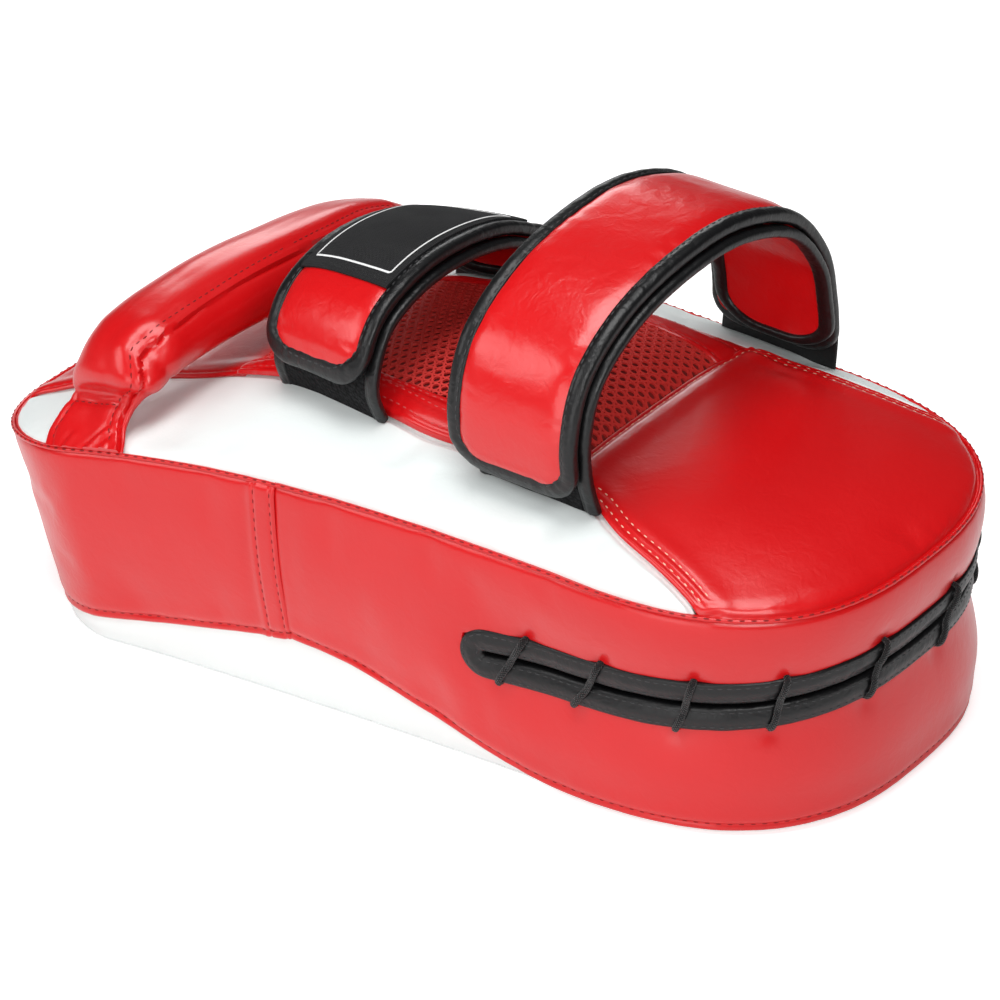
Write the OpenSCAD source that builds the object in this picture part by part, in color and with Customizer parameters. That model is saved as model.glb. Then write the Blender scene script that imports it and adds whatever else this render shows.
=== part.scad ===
// Curved kick pad with a padded handle and two hook and loop arm straps.
// Millimetres, +Z up. The pad lies on its striking face: hand end at -X,
// rounded elbow end at +X, the side that the straps close on at -Y.

/* [Pad body] */
// Length over the top seam
pad_len = 380; // [370:2:390]
// Width across the hand end
hand_w = 213; // [206:1:216]
// Width at the waist, between the two straps
waist_w = 189; // [186:1:194]
// Width where the elbow end starts to round
elbow_w = 185; // [182:1:192]
// Corner radius of the hand end
hand_corner = 59; // [54:1:64]
// Length of the rounded elbow end
elbow_round = 102; // [98:1:106]
// Squareness of the elbow end (2 is an ellipse)
elbow_square = 2.6; // [2.3:0.1:2.8]
// Height of the top seam at the hand end
seam_hand = 72; // [70:1:76]
// Height of the top seam under the wrist strap
seam_wrist = 97; // [95:1:99]
// Height of the top seam under the forearm strap
seam_fore = 99; // [97:1:101]
// Height of the top seam at the elbow end
seam_elbow = 93; // [90:1:96]
// Crown of the back above its seam
crown_h = 16; // [14:1:17]
// Rise of the forearm cushion above the crown
cushion_h = 12; // [9:1:13]
// Leather with its lining
skin = 2; // [1.8:0.1:2.2]
// Outward swell of the side wall at half height
wall_swell = 3; // [0:0.5:4]

/* [Striking face] */
// Height of the arch where the face wraps up the side
arch_h = 25; // [15:1:28]
// Place of the arch's peak, where the wall is seamed
arch_x = -34; // [-45:1:-25]
// Where the arch comes down to the foot
flat_x = 88; // [80:1:92]
// Rounding of the edge under the face
face_r = 5; // [3:0.5:6]
// How far the hand end wall leans in at its foot
hand_lean = 22; // [16:1:26]
// Inward draft of the side wall, as a part of the width
wall_draft = 0.055; // [0.04:0.005:0.065]

/* [Handle] */
// Place of the handle along the pad
handle_x = -116; // [-118:1:-114]
// Width of the padded grip
grip_w = 40; // [36:1:42]
// Depth of the padded grip
grip_d = 31; // [28:1:32]
// Height of the grip's centre line at its highest
grip_z = 122; // [121:0.5:124]

/* [Straps] */
// Width of the wrist strap
wrist_w = 56; // [52:1:60]
// Place of the wrist strap along the pad
wrist_x = -42; // [-44:1:-40]
// Width of the forearm strap
fore_w = 57; // [52:1:60]
// Place of the forearm strap along the pad
fore_x = 60; // [58:1:62]
// Thickness of the padded strap
strap_t = 4; // [3.5:0.1:4.4]
// Width of the edge binding
bind_w = 6; // [5:0.5:7]
// Corner radius of the strap tips
tip_r = 16; // [13:1:18]

/* [Lacing] */
// Height of the lacing slot's centre line at its ends
slot_z = 53; // [48:1:56]
// Rise of the slot round the elbow end
slot_rise = 5; // [0:1:7]
// How far the lacing draws the wall in
lace_pull = 6; // [3:0.5:7]
// Place of the slot's ends along the pad
slot_x = 45; // [40:1:52]
// Half height of the slot in the wall
slot_h = 11; // [10:0.5:12]
// Number of crossings of the lace on each side
crossings = 5; // [4:1:7]
// Thickness of the lace
lace_d = 3; // [2.5:0.1:3.2]

/* [Hidden] */

red = "#c8202a";
white = "#eef2f0";
black = "#1c1c1e";
foam = "#d8d2c0";

hl = pad_len / 2;
hw = hand_w / 2;
ww = waist_w / 2;
ew = elbow_w / 2;
xs0 = -hl + hand_corner;
xs1 = hl - elbow_round;
xw = 30;
// Gap between two pieces of the same cover
gap = 0.3;
// Height of the wall's lower seam at both ends
rim = 2.8;
foot_x = -hl + hand_lean;
cushion_x0 = -97;
cushion_x1 = 65;
cushion_xc = 20;

// Small helpers
function mix(a, b, t) = a + (b - a) * t;
function clamp(x) = max(0, min(1, x));
function ease(a, b, x) = let (s = clamp((x - a) / (b - a))) s * s * (3 - 2 * s);
function unit(v) = v / norm(v);
function sum(v, i = 0) = i >= len(v) ? 0 : v[i] + sum(v, i + 1);

// Height of the top seam: a cubic through four heights a third of the length apart
function seam_z(x) = let (u = 3 * (x + hl) / pad_len)
    seam_hand * (u - 1) * (u - 2) * (u - 3) / -6 + seam_wrist * u * (u - 2) * (u - 3) / 2
    - seam_fore * u * (u - 1) * (u - 3) / 2 + seam_elbow * u * (u - 1) * (u - 2) / 6;

// Arch of the wall's lower seam: a straight rise from the hand end, then an S down to the foot
function arch_z(x) = x <= foot_x ? 0
    : x < arch_x ? arch_h * (x - foot_x) / (arch_x - foot_x)
    : arch_h * (1 - ease(arch_x, flat_x, x));

// Half width of the long sides: a parabola through the hand, waist and elbow widths
function side_w(x) = hw * (x - xw) * (x - xs1) / ((xs0 - xw) * (xs0 - xs1))
    + ww * (x - xs0) * (x - xs1) / ((xw - xs0) * (xw - xs1))
    + ew * (x - xs0) * (x - xw) / ((xs1 - xs0) * (xs1 - xw));

// Half width of the whole plan at x, drawn in by d
function plan_w(x, d = 0) = x < xs0
    ? hw - hand_corner + sqrt(max(0, pow(hand_corner - d, 2) - pow(xs0 - x, 2)))
    : x <= xs1 ? side_w(x) - d
    : (ew - d) * pow(max(0, 1 - pow((x - xs1) / (elbow_round - d), elbow_square)), 1 / elbow_square);

// Near half of the plan: end, corner, side to the wall seam, side to the elbow, rounded end
side_n = 7;
round_n = 12;
half_plan = concat(
    [for (i = [0:2]) [-hl, -(hw - hand_corner) * i / 2]],
    [for (i = [1:6]) [-hl + hand_corner * (1 - cos(15 * i)), -hw + hand_corner * (1 - sin(15 * i))]],
    [for (i = [1:5]) let (x = mix(xs0, arch_x, i / 5)) [x, -side_w(x)]]);

// Point of the plan from the near wall seam round the elbow end, c counts the columns
function elbow_half(c) = c <= side_n
    ? let (x = mix(arch_x, xs1, c / side_n)) [x, -side_w(x)]
    : let (a = 90 * (c - side_n) / round_n)
        [xs1 + elbow_round * pow(sin(a), 2 / elbow_square), -ew * pow(max(0, cos(a)), 2 / elbow_square)];
c_tip = side_n + round_n;
function elbow_plan(c) = c <= c_tip ? elbow_half(c)
    : let (p = elbow_half(2 * c_tip - c)) [p[0], -p[1]];
function elbow_out(c) = let (e = 0.05, t = elbow_plan(min(c + e, 2 * c_tip)) - elbow_plan(max(c - e, 0)))
    unit([t[1], -t[0]]);
hand_ring = concat([for (i = [len(half_plan) - 1:-1:1]) [half_plan[i][0], -half_plan[i][1]]], half_plan);
function hand_out(i) = let (n = len(hand_ring) - 1,
    t = hand_ring[min(i + 1, n)] - hand_ring[max(i - 1, 0)]) unit([t[1], -t[0]]);

// Place along the pad of the foot under a point of the plan
function foot_at(x) = x + hand_lean * clamp((-100 - x) / (hl - 100)) - 4 * clamp((x - xs1) / elbow_round);
// How far the wall stands off a straight line: it swells, and the lacing draws it in
function stand_off(x, v) = wall_swell * 4 * v * (1 - v) * mix(0.1, 1, ease(-185, -90, x))
    - lace_pull * ease(slot_x - 15, slot_x + 40, x) * (1 - ease(0, 0.36, abs(v - 0.56)));
// Point of the wall over plan point p with outward direction n, v from foot to seam, o outward
function wall_at(p, n, v, o) = let (xb = foot_at(p[0]), yb = p[1] * (1 - wall_draft),
    zb = arch_z(xb) + rim, s = o + stand_off(p[0], v))
    [mix(xb, p[0], v) + n[0] * s, mix(yb, p[1], v) + n[1] * s, mix(zb, seam_z(p[0]), v)];
// Part of the wall's height at which it passes height z
function wall_v(p, z) = let (zb = arch_z(p[0]) + rim) (z - zb) / (seam_z(p[0]) - zb);

// Height of the back: a crown that falls to the seam on every side
function crown(x) = 3 + (crown_h - 3) * ease(-130, -45, x);
function edge_r(x, y) = x > xs1
    ? pow(pow((x - xs1) / elbow_round, elbow_square) + pow(abs(y) / ew, elbow_square), 1 / elbow_square)
    : x < -120 ? pow(pow(abs(y) / hw, 4) + pow((-120 - x) / (hl - 120), 4), 0.25)
    : abs(y) / side_w(x);
function back_z(x, y) = seam_z(x) + crown(x) * (1 - pow(min(1, edge_r(x, y)), 3.2));

// Half width of the red middle on the near side (s below 0) or the far side, up to the top seam
near_w = [[-190, 66], [-130, 45], [-97, 42], [-50, 48], [-10, 54.5], [5, 57.4], [15, 57.6], [25, 57.2],
    [65, 57], [80, 58.5], [87, 61], [95, 66.3], [107, 71], [118, 73.8], [130, 77.3], [140, 80.3],
    [147, 83.2]];
far_w = [[-190, 66], [-130, 45], [-97, 42], [-50, 48], [-10, 54.5], [15, 59], [40, 64], [65, 69], [85, 73],
    [100, 74.5], [110, 75.5], [122, 77.5], [130, 79.3], [138, 81.2], [147, 83.2]];
function middle_w(x, s) = lookup(x, s < 0 ? near_w : far_w);
// Half width of the mesh of the forearm cushion
function mesh_w(x) = lookup(x, [[-97, 32.8], [-50, 37.4], [0, 43], [65, 46]]);

// Rise of the forearm cushion above the back
function cushion_z(x, y) = let (s = x > cushion_xc ? (x - cushion_xc) / (cushion_x1 - cushion_xc)
        : (cushion_xc - x) / (cushion_xc - cushion_x0), q = min(1, abs(y) / middle_w(x, y)))
    back_z(x, y) + cushion_h * pow(max(0, 1 - s * s), 0.6) * pow(1 - pow(q, 2.4), 0.6);

// Triangles of a grid of na by nb points that starts at index o
function quads(na, nb, o, ring = false) = [for (i = [0:na - (ring ? 1 : 2)], j = [0:nb - 2])
    let (a = o + i * nb + j, b = o + ((i + 1) % na) * nb + j) each [[a, b, b + 1], [a, b + 1, a + 1]]];
function flip(f) = [for (t = f) [t[2], t[1], t[0]]];
function volume6(p, f) = sum([for (t = f) p[t[0]] * cross(p[t[1]], p[t[2]])]);

// A closed solid from points and triangles, turned so that its faces look out
module solid(p, f) {
    polyhedron(points = p, faces = volume6(p, f) > 0 ? flip(f) : f, convexity = 8);
}

// A sheet between an upper and a lower grid of the same size, with its rim
module sheet(top, low) {
    na = len(top);
    nb = len(top[0]);
    n = na * nb;
    p = concat([for (r = top) each r], [for (r = low) each r]);
    edge = concat([for (i = [0:na - 2]) [i * nb, (i + 1) * nb]],
        [for (j = [0:nb - 2]) [(na - 1) * nb + j, (na - 1) * nb + j + 1]],
        [for (i = [na - 1:-1:1]) [i * nb + nb - 1, (i - 1) * nb + nb - 1]],
        [for (j = [nb - 1:-1:1]) [j, j - 1]]);
    solid(p, concat(quads(na, nb, 0), flip(quads(na, nb, n)),
        [for (e = edge) each [[e[1], e[0], e[0] + n], [e[1], e[0] + n, e[1] + n]]]));
}

// A tube through rings of points, open ends closed by fans
module loft(rings) {
    na = len(rings);
    nb = len(rings[0]);
    p = [for (r = rings) each r];
    f = [for (i = [0:na - 2], j = [0:nb - 1])
        let (a = i * nb + j, b = i * nb + (j + 1) % nb) each [[a, a + nb, b + nb], [a, b + nb, b]]];
    caps = [for (j = [1:nb - 2]) each [[0, j, j + 1],
        [(na - 1) * nb, (na - 1) * nb + j + 1, (na - 1) * nb + j]]];
    solid(p, concat(f, caps));
}

// A tube through rings of points that closes on itself
module loop(rings) {
    na = len(rings);
    nb = len(rings[0]);
    p = [for (r = rings) each r];
    f = [for (i = [0:na - 1], j = [0:nb - 1])
        let (a = i * nb + j, b = i * nb + (j + 1) % nb, c = ((i + 1) % na) * nb + j,
            d = ((i + 1) % na) * nb + (j + 1) % nb) each [[a, c, d], [a, d, b]]];
    solid(p, f);
}

// A sleeve between outer and inner rings, open at both ends
module sleeve(outer, inner) {
    na = len(outer);
    nb = len(outer[0]);
    n = na * nb;
    p = concat([for (r = outer) each r], [for (r = inner) each r]);
    f = [for (i = [0:na - 2], j = [0:nb - 1])
        let (a = i * nb + j, b = i * nb + (j + 1) % nb) each [[a, a + nb, b + nb], [a, b + nb, b]]];
    g = [for (t = f) [t[0] + n, t[2] + n, t[1] + n]];
    ends = [for (j = [0:nb - 1]) let (k = (j + 1) % nb, m = (na - 1) * nb) each [
        [j, k, k + n], [j, k + n, j + n], [m + k, m + j, m + j + n], [m + k, m + j + n, m + k + n]]];
    solid(p, concat(f, g, ends));
}

// A sheet with some of its cells left out, open[i][j] true where a cell is missing
module pierced(top, low, open) {
    na = len(top);
    nb = len(top[0]);
    n = na * nb;
    p = concat([for (r = top) each r], [for (r = low) each r]);
    there = function (i, j) i >= 0 && j >= 0 && i < na - 1 && j < nb - 1 && !open[i][j];
    f = [for (i = [0:na - 2], j = [0:nb - 2]) if (there(i, j))
        let (a = i * nb + j, b = a + nb, c = b + 1, d = a + 1, e = concat(
            there(i, j - 1) ? [] : [[a, b]], there(i + 1, j) ? [] : [[b, c]],
            there(i, j + 1) ? [] : [[c, d]], there(i - 1, j) ? [] : [[d, a]]))
        each concat([[a, b, c], [a, c, d], [c + n, b + n, a + n], [d + n, c + n, a + n]],
            [for (g = e) each [[g[1], g[0], g[0] + n], [g[1], g[0] + n, g[1] + n]]])];
    solid(p, f);
}

// Striking face: a flat sheet whose long sides wrap up to the arch of the wall's lower seam
module front_panel() {
    d = 0.3;
    xl = concat([for (i = [0:6]) mix(-hl + d, -130, 1 - cos(15 * i))],
        [for (i = [1:6]) mix(-130, arch_x, i / 6)], [for (i = [1:10]) mix(arch_x, flat_x, i / 10)],
        [for (i = [1:10]) flat_x + (hl - d - flat_x) * sin(9 * i)]);
    // Half a section from the rim down and in, t is the way in through the leather
    half = function (x, t) let (top = arch_z(foot_at(x)) + rim - 0.9, h = min(face_r, top),
        w = max(5, plan_w(x, d)) * (1 - wall_draft), m = min(w - 1, face_r))
        concat([[w - t, max(top, t)]], [for (k = [0:4]) let (a = 22.5 * k)
            [w - m * (1 - cos(a)) - t * cos(a), max(t, h * (1 - sin(a)) + t * sin(a))]]);
    grid = function (t) [for (x = xl) let (h = half(x, t), n = len(h) - 1)
        [for (k = [0:2 * n + 1]) let (q = h[k <= n ? k : 2 * n + 1 - k])
            [foot_at(x), k <= n ? -q[0] : q[0], q[1]]]];
    color(white) sheet(grid(skin), grid(0));
}

// Side wall round the elbow end, with the lacing slot left open
slot_c = side_n * (slot_x - arch_x) / (xs1 - arch_x);
slot_cols = [slot_c, slot_c + 0.1, slot_c + 0.3, slot_c + 0.62];
elbow_cols = let (h = concat([for (c = [0:1:floor(slot_c)]) c], slot_cols,
    [for (c = [ceil(slot_c + 0.7):c_tip]) c])) concat(h, [for (i = [len(h) - 2:-1:0]) 2 * c_tip - h[i]]);
function in_slot(c) = min(c, 2 * c_tip - c) >= slot_c - 0.001;
function slot_mid(c) = slot_z + slot_rise * ease(slot_c, c_tip, min(c, 2 * c_tip - c));
function slot_half(c) = let (u = min(c, 2 * c_tip - c) - slot_c) u < -0.001 ? 3
    : slot_h * (u < 0.05 ? 0.3 : u < 0.2 ? 0.62 : u < 0.5 ? 0.9 : 1);
module wall_elbow() {
    rows = function (c) let (p = elbow_plan(c), h = slot_half(c))
        [0, 0.2, wall_v(p, slot_mid(c) - h), wall_v(p, slot_mid(c) + h), 0.82, 1];
    grid = function (o) [for (c = elbow_cols) let (p = elbow_plan(c), n = elbow_out(c))
        [for (v = rows(c)) wall_at(p, n, v, o)]];
    open = [for (i = [0:len(elbow_cols) - 2])
        [for (j = [0:4]) j == 2 && in_slot(elbow_cols[i]) && in_slot(elbow_cols[i + 1])]];
    color(red) pierced(grid(0), grid(-skin), open);
}

// Side wall round the hand end, seamed to the other at the arch's peak
module wall_hand() {
    n = len(hand_ring);
    grid = function (o) [for (i = [0:n - 1]) let (p = hand_ring[i] - [i == 0 || i == n - 1 ? gap : 0, 0])
        [for (v = [0, 0.2, 0.5, 0.8, 1]) wall_at(p, hand_out(i), v, o)]];
    color(red) sheet(grid(0), grid(-skin));
}

// A panel of the back between two side lines, lower and upper heights as functions
module panel(xlist, y0, y1, ny, up, down) {
    grid = function (z) [for (x = xlist) [for (j = [0:ny])
        let (y = mix(y0(x), y1(x), j / ny)) [x, y, z(x, y)]]];
    sheet(grid(up), grid(down));
}
back_d = skin + 0.6;
back_up = function (x, y) back_z(x, y);
back_low = function (x, y) back_z(x, y) - skin;
white_xs = concat([-182, -178, -172, -164, -154], [for (i = [0:8]) mix(-142, -35, i / 8)],
    [-22, -10, 5, 15, 25, 38, 52, 65, 73, 80, 87, 95, 107, 118, 130, 134, 139.5]);
module back_white(s) {
    color(white) panel(white_xs, function (x) s * (middle_w(x, s) + gap), function (x) s * plan_w(x, back_d),
        5, back_up, back_low);
}
module back_near() { back_white(-1); }
module back_far() { back_white(1); }

// Red panel over the elbow end, seamed to the cushion and to the white panels
module back_elbow() {
    x0 = cushion_x1 + gap;
    x1 = hl - back_d - 0.1;
    xl = concat([x0, 73, 80, 87, 95, 101, 107, 118, 124, 130, 135, 140],
        [for (i = [1:8]) mix(140, x1, sin(90 * i / 8))]);
    w = function (x, s) min(middle_w(x, s), plan_w(x, back_d));
    color(red) panel(xl, function (x) -w(x, -1), function (x) w(x, 1), 12, back_up, back_low);
}

// Red panel under the handle
module back_hand() {
    x0 = -hl + back_d + 0.2;
    x1 = cushion_x0 - gap;
    xl = concat([for (i = [0:3]) x0 + 2.2 * i], [for (i = [1:8]) mix(x0 + 7, x1, i / 8)]);
    w = function (x) min(middle_w(x, 1), plan_w(x, back_d));
    color(red) panel(xl, function (x) -w(x), w, 8, back_up, back_low);
}

// Forearm cushion: mesh top, leather side bands and its foam
cushion_xs = [for (i = [0:14]) mix(cushion_x0, cushion_x1, (1 - cos(180 * i / 14)) / 2)];
cushion_up = function (x, y) cushion_z(x, y);
cushion_low = function (x, y) cushion_z(x, y) - skin;
module forearm_mesh() {
    color("#b01c26") panel(cushion_xs, function (x) -mesh_w(x), function (x) mesh_w(x),
        12, cushion_up, cushion_low);
}
module forearm_band(s) {
    color(red) panel(cushion_xs, function (x) s * (mesh_w(x) + gap), function (x) s * middle_w(x, s),
        4, cushion_up, cushion_low);
}
module forearm_band_near() { forearm_band(-1); }
module forearm_band_far() { forearm_band(1); }
module forearm_foam() {
    xl = [for (i = [0:10]) mix(cushion_x0 + 8, cushion_x1 - 4, (1 - cos(18 * i)) / 2)];
    color(foam) panel(xl, function (x) -0.88 * middle_w(x, -1), function (x) 0.88 * middle_w(x, 1), 8,
        function (x, y) cushion_z(x, y) - skin - 0.4, function (x, y) back_z(x, y) - skin + 0.2);
}

// Foam inside: back layer, core that leaves room for the lacing, and striking layer
function level_w(x, v, d) = let (k = hand_lean * (1 - v) / (hl - 100),
    xo = x < -100 ? -100 - (-100 - x) / (1 - k) : x + 4 * (1 - v) * clamp((x - xs1) / elbow_round))
    plan_w(xo, d) * (1 - wall_draft * (1 - v));
module foam_layer(v, d, z1, z0) {
    x0 = -hl + hand_lean * (1 - v) + d + 0.5;
    x1 = hl - d - 4;
    xl = concat([for (i = [0:4]) mix(x0, -115, 1 - cos(22.5 * i))],
        [for (i = [1:4]) mix(-115, arch_x, i / 4)], [for (i = [1:9]) mix(arch_x, flat_x, i / 9)],
        [for (i = [1:7]) flat_x + (x1 - flat_x) * sin(90 * i / 7.3)]);
    w = function (x) level_w(x, v, d) - 0.5;
    color(foam) panel(xl, function (x) -w(x), w, 6, z1, z0);
}
function layer_z(x, v) = mix(arch_z(x) + rim, seam_z(x), v);
module foam_back() {
    foam_layer(0.7, skin + 1.2, function (x, y) back_z(x, y) - skin - 0.6, function (x, y) layer_z(x, 0.79));
}
module foam_core() {
    foam_layer(0.34, skin + 12, function (x, y) layer_z(x, 0.79) - 0.4,
        function (x, y) layer_z(x, 0.34) + 0.4);
}
module foam_strike() {
    foam_layer(0, skin + 2.2, function (x, y) layer_z(x, 0.34), function (x, y) skin + 0.8);
}

// Lacing: a black facing round the slot, a lining behind it and the crossing lace
face_half = slot_h - 4.4;
c_end = slot_c + 0.66;
function lace_at(c, dz, o) = let (p = elbow_plan(c), n = elbow_out(c))
    wall_at(p, n, wall_v(p, slot_mid(c) + dz), o);
facing_path = concat([for (i = [0:36]) [mix(c_end, 2 * c_tip - c_end, i / 36), -90]],
    [for (i = [1:4]) [2 * c_tip - c_end, -90 + 36 * i]],
    [for (i = [0:36]) [mix(2 * c_tip - c_end, c_end, i / 36), 90]],
    [for (i = [1:4]) [c_end, 90 + 36 * i]]);
col_mm = (xs1 - arch_x) / side_n;
module lace_facing() {
    rings = [for (q = facing_path) [for (k = [0:7]) let (a = 22.5 + 45 * k,
        r = face_half + 4 * cos(a), o = -0.9 + 2.7 * sin(a))
        lace_at(q[0] + r * cos(q[1]) / col_mm, r * sin(q[1]), o)]];
    color(black) loop(rings);
}
module lace_lining() {
    cl = [for (i = [0:32]) mix(c_end - 0.55, 2 * c_tip - c_end + 0.55, i / 32)];
    grid = function (o) [for (c = cl) [for (z = [-13, 0, 13]) lace_at(c, z, o)]];
    color(black) sheet(grid(-skin - 2.6), grid(-skin - 4));
}
module lace_cord() {
    color(black) for (k = [1:crossings], d = [-1, 1]) {
        // The crossings draw together towards the ends of the slot
        t = k / crossings;
        c0 = c_tip + d * (c_tip - c_end - 0.6) * (t + 0.4 * t * t * (1 - t));
        rings = [for (i = [0:6]) let (u = i / 3 - 1, z = (face_half + 3.2) * u,
            o = 1.8 + 0.5 * lace_d + 0.4 - 1.2 * pow(abs(u), 8))
            [for (j = [0:5]) lace_at(c0 + 0.34 * u + 0.5 * lace_d * cos(60 * j) / 15, z,
                o + 0.5 * lace_d * sin(60 * j))]];
        loft(rings);
    }
}

// Handle: a padded tube that rocks on two flat feet sewn into the seam
// Centre line of the grip as side place, height and half depth: it sags towards the far side
grip_path = let (d = grip_d / 2) [[-80, 97.5, 3.5], [-83, 102, 6.5], [-83, 108.5, 10], [-78.5, 115, 12.5],
    [-69, 119, d - 1.5], [-52, 121, d - 0.5], [-26, grip_z, d], [0, grip_z - 1, d], [26, grip_z - 3.5, d],
    [46, 115.3, d - 0.5], [61, 111.4, d - 1.5], [72, 107.2, 11.5], [79.5, 104, 8.5], [82.5, 101.2, 6],
    [81.5, 98.6, 3.2]];
function grip_mid(y) = handle_x + 0.06 * y;
function grip_ring(i, cut, m) = let (n = len(grip_path) - 1, q = grip_path[i],
    t = i == 0 ? [0, 1] : i == n ? [0, -1]
        : unit([for (k = [0, 1]) grip_path[i + 1][k] - grip_path[i - 1][k]]),
    b = max(1.2, q[2] - cut), a = grip_w / 2 - cut, e = min(i, n - i),
    lift = lookup(e, [[0, 4.5], [1, 2], [2, 0]]), tip = lookup(e, [[0, 0.26], [4, 0]]) * a)
    [for (k = [0:m - 1]) let (c = cos(360 * k / m), s = sin(360 * k / m))
        [grip_mid(q[0]) + a * c, q[0] - t[1] * b * s, q[1] + t[0] * b * s + lift * c * c + tip * c]];
module handle_cover() {
    n = len(grip_path) - 1;
    color(red) sleeve([for (i = [0:n]) grip_ring(i, 0, 16)], [for (i = [0:n]) grip_ring(i, skin, 16)]);
}
module handle_core() {
    n = len(grip_path) - 1;
    color(foam) loft([for (i = [2:n - 2]) grip_ring(i, skin + 0.5, 12)]);
}
module handle_foot(s) {
    a = grip_w / 2;
    ys = [-102.5, -98, -92, -86, -80.5];
    grid = function (up) [for (i = [0:8]) [for (y = ys) let (x = grip_mid(-s * 90) + mix(-a, a, i / 8))
        [x, -s * -y, back_z(x, y) + (up ? mix(1.8, 3.6, (y + 103) / 24) : 0.25)]]];
    color(red) sheet(grid(true), grid(false));
}
module handle_foot_near() { handle_foot(1); }
module handle_foot_far() { handle_foot(-1); }

// A strap's arch: a curve through points of side place and height over its roots
// S = [points, x of the middle, half width, cone in y, cone in z, skew]
wrist_arch = [[-51, 0], [-55, 12], [-52, 24], [-44, 34], [-26, 40], [-5, 40.5], [18, 36], [36, 27],
    [50, 17.5], [53, 9], [51, 0]];
fore_arch = [[-62.5, 0], [-67, 16], [-67, 34], [-59, 52], [-38, 66], [-9, 73.4], [23, 74.2], [53.8, 63.8],
    [70.8, 44.4], [75.5, 26], [76.7, 11], [75, 0]];
wrist_s = [wrist_arch, wrist_x, wrist_w / 2, 0.09, 0.05, 0.01];
fore_s = [fore_arch, fore_x, fore_w / 2, 0, 0, 0.05];
function spline(p, t) = let (n = len(p) - 1, i = min(n - 1, floor(t * n)), f = t * n - i,
    a = p[max(0, i - 1)], b = p[i], c = p[i + 1], d = p[min(n, i + 2)])
    0.5 * (2 * b + (c - a) * f + (2 * a - 5 * b + 4 * c - d) * f * f + (3 * b - a - 3 * c + d) * f * f * f);
function arch_len(p) = sum([for (i = [1:40]) norm(spline(p, i / 40) - spline(p, (i - 1) / 40))]);
// Point of strap S: s along the arch from the near root, x across, o outward
function strap_at(S, s, x, o) = let (p = S[0], k = (x - S[1]) / S[2], q = spline(p, s),
    e = 0.004, m = min(1, s), t = spline(p, min(1, m + e)) - spline(p, max(0, m - e)),
    ky = 1 + S[3] * k, kz = 1 + S[4] * k, n = unit([-t[1] * kz, t[0] * ky]),
    z0 = back_z(x, p[0][0] * ky), z1 = back_z(x, p[len(p) - 1][0] * ky))
    [x + S[5] * (q[0] + 62), q[0] * ky + n[0] * o, mix(z0, z1, s) + q[1] * kz + n[1] * o + 1.2];
tab_o = [0, 3];
flap_o = [4.9, 4.9 + strap_t];
hinge_s = 0.5;
hinge_gap = 0.004;
s_end = 0.95;
// Where the padded strap ends over its anchor
strap_end = 0.972;

// A flat layer of a strap from s0 to s1, e in from each edge, its end at s0 rounded by radius r
// c moves its middle line across
module strap_layer(S, s0, s1, n, o, e, r = 0, c = 0) {
    L = arch_len(S[0]);
    g = s1 > s0 ? 1 / L : -1 / L;
    ss = r > 0 ? concat([for (i = [0:4]) s0 + g * (r * (1 - cos(18 * i)) + (i == 0 ? 0.15 : 0))],
        [for (i = [1:n]) mix(s0 + g * r * (1 - cos(72)), s1, i / n)]) : [for (i = [0:n]) mix(s0, s1, i / n)];
    h = function (s) let (d = abs(s - s0) * L, w = S[2] - e) r > 0 && d < r
        ? w - r + sqrt(max(0, r * r - pow(r - d, 2))) : w;
    grid = function (oo) [for (s = ss) [for (u = [-1, -0.5, 0.5, 1])
        strap_at(S, s, S[1] + c + u * h(s), oo)]];
    sheet(grid(o[1]), grid(o[0]));
}

// A binding along one edge of a strap, or round its tip, on a path of [length, x] points
module strap_trim(S, path, o, w) {
    L = arch_len(S[0]);
    n = len(path) - 1;
    m = (o[0] + o[1]) / 2;
    d = (o[1] - o[0]) / 2;
    rings = [for (i = [0:n]) let (t = unit(path[min(n, i + 1)] - path[max(0, i - 1)]), c = [-t[1], t[0]])
        [for (q = [[-0.5, -0.75], [0.36, -1], [0.5, -0.3], [0.5, 0.3], [0.36, 1], [-0.5, 0.75]])
            strap_at(S, clamp((path[i][0] + c[0] * q[0] * w) / L), path[i][1] + c[1] * q[0] * w,
                m + d * q[1])]];
    loft(rings);
}
function edge_path(S, s0, s1, side, e, n) = let (L = arch_len(S[0]))
    [for (i = [0:n]) let (u = side > 0 ? i / n : 1 - i / n)
        [L * mix(s0, s1, u), S[1] + side * (S[2] - e)]];
// Path along the left edge, round the end at s0 and back along the right edge
function tip_path(S, s0, s1, e, r, n) = let (L = arch_len(S[0]), w = S[2] - e, g = s1 > s0 ? 1 : -1,
    a = s0 * L + g * e)
    concat([for (i = [0:n]) [mix(s1 * L, a + g * r, i / n), S[1] - w]],
        [for (i = [1:4]) [a + g * r * (1 - sin(22.5 * i)), S[1] - w + r * (1 - cos(22.5 * i))]],
        [for (i = [0:3]) [a + g * r * (1 - cos(22.5 * i)), S[1] + w - r + r * sin(22.5 * i)]],
        [for (i = [0:n]) [mix(a + g * r, s1 * L, i / n), S[1] + w]]);

// The loop tab is narrower than the flap by d on its hand side
module tab(S, d) { color("#26262a") strap_layer(S, 0, s_end, 16, tab_o, 1.2 + d / 2, 0, d / 2); }
module tab_trim(S, d) {
    color(black) for (k = [-1, 1])
        strap_trim(S, edge_path(S, 0, s_end, k, k < 0 ? d - 1.4 : -1.4, 16), [-0.6, 3.7], bind_w - 1.4);
}
module strap(S) {
    L = arch_len(S[0]);
    color(red) strap_layer(S, strap_end - (bind_w + 0.3) / L, hinge_s + hinge_gap, 10, flap_o, bind_w + 0.3,
        tip_r - bind_w / 2);
}
module strap_binding(S) {
    color(black) strap_trim(S, tip_path(S, strap_end, hinge_s + hinge_gap, bind_w / 2, tip_r, 10),
        [4.3, 5.5 + strap_t], bind_w);
}
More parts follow.
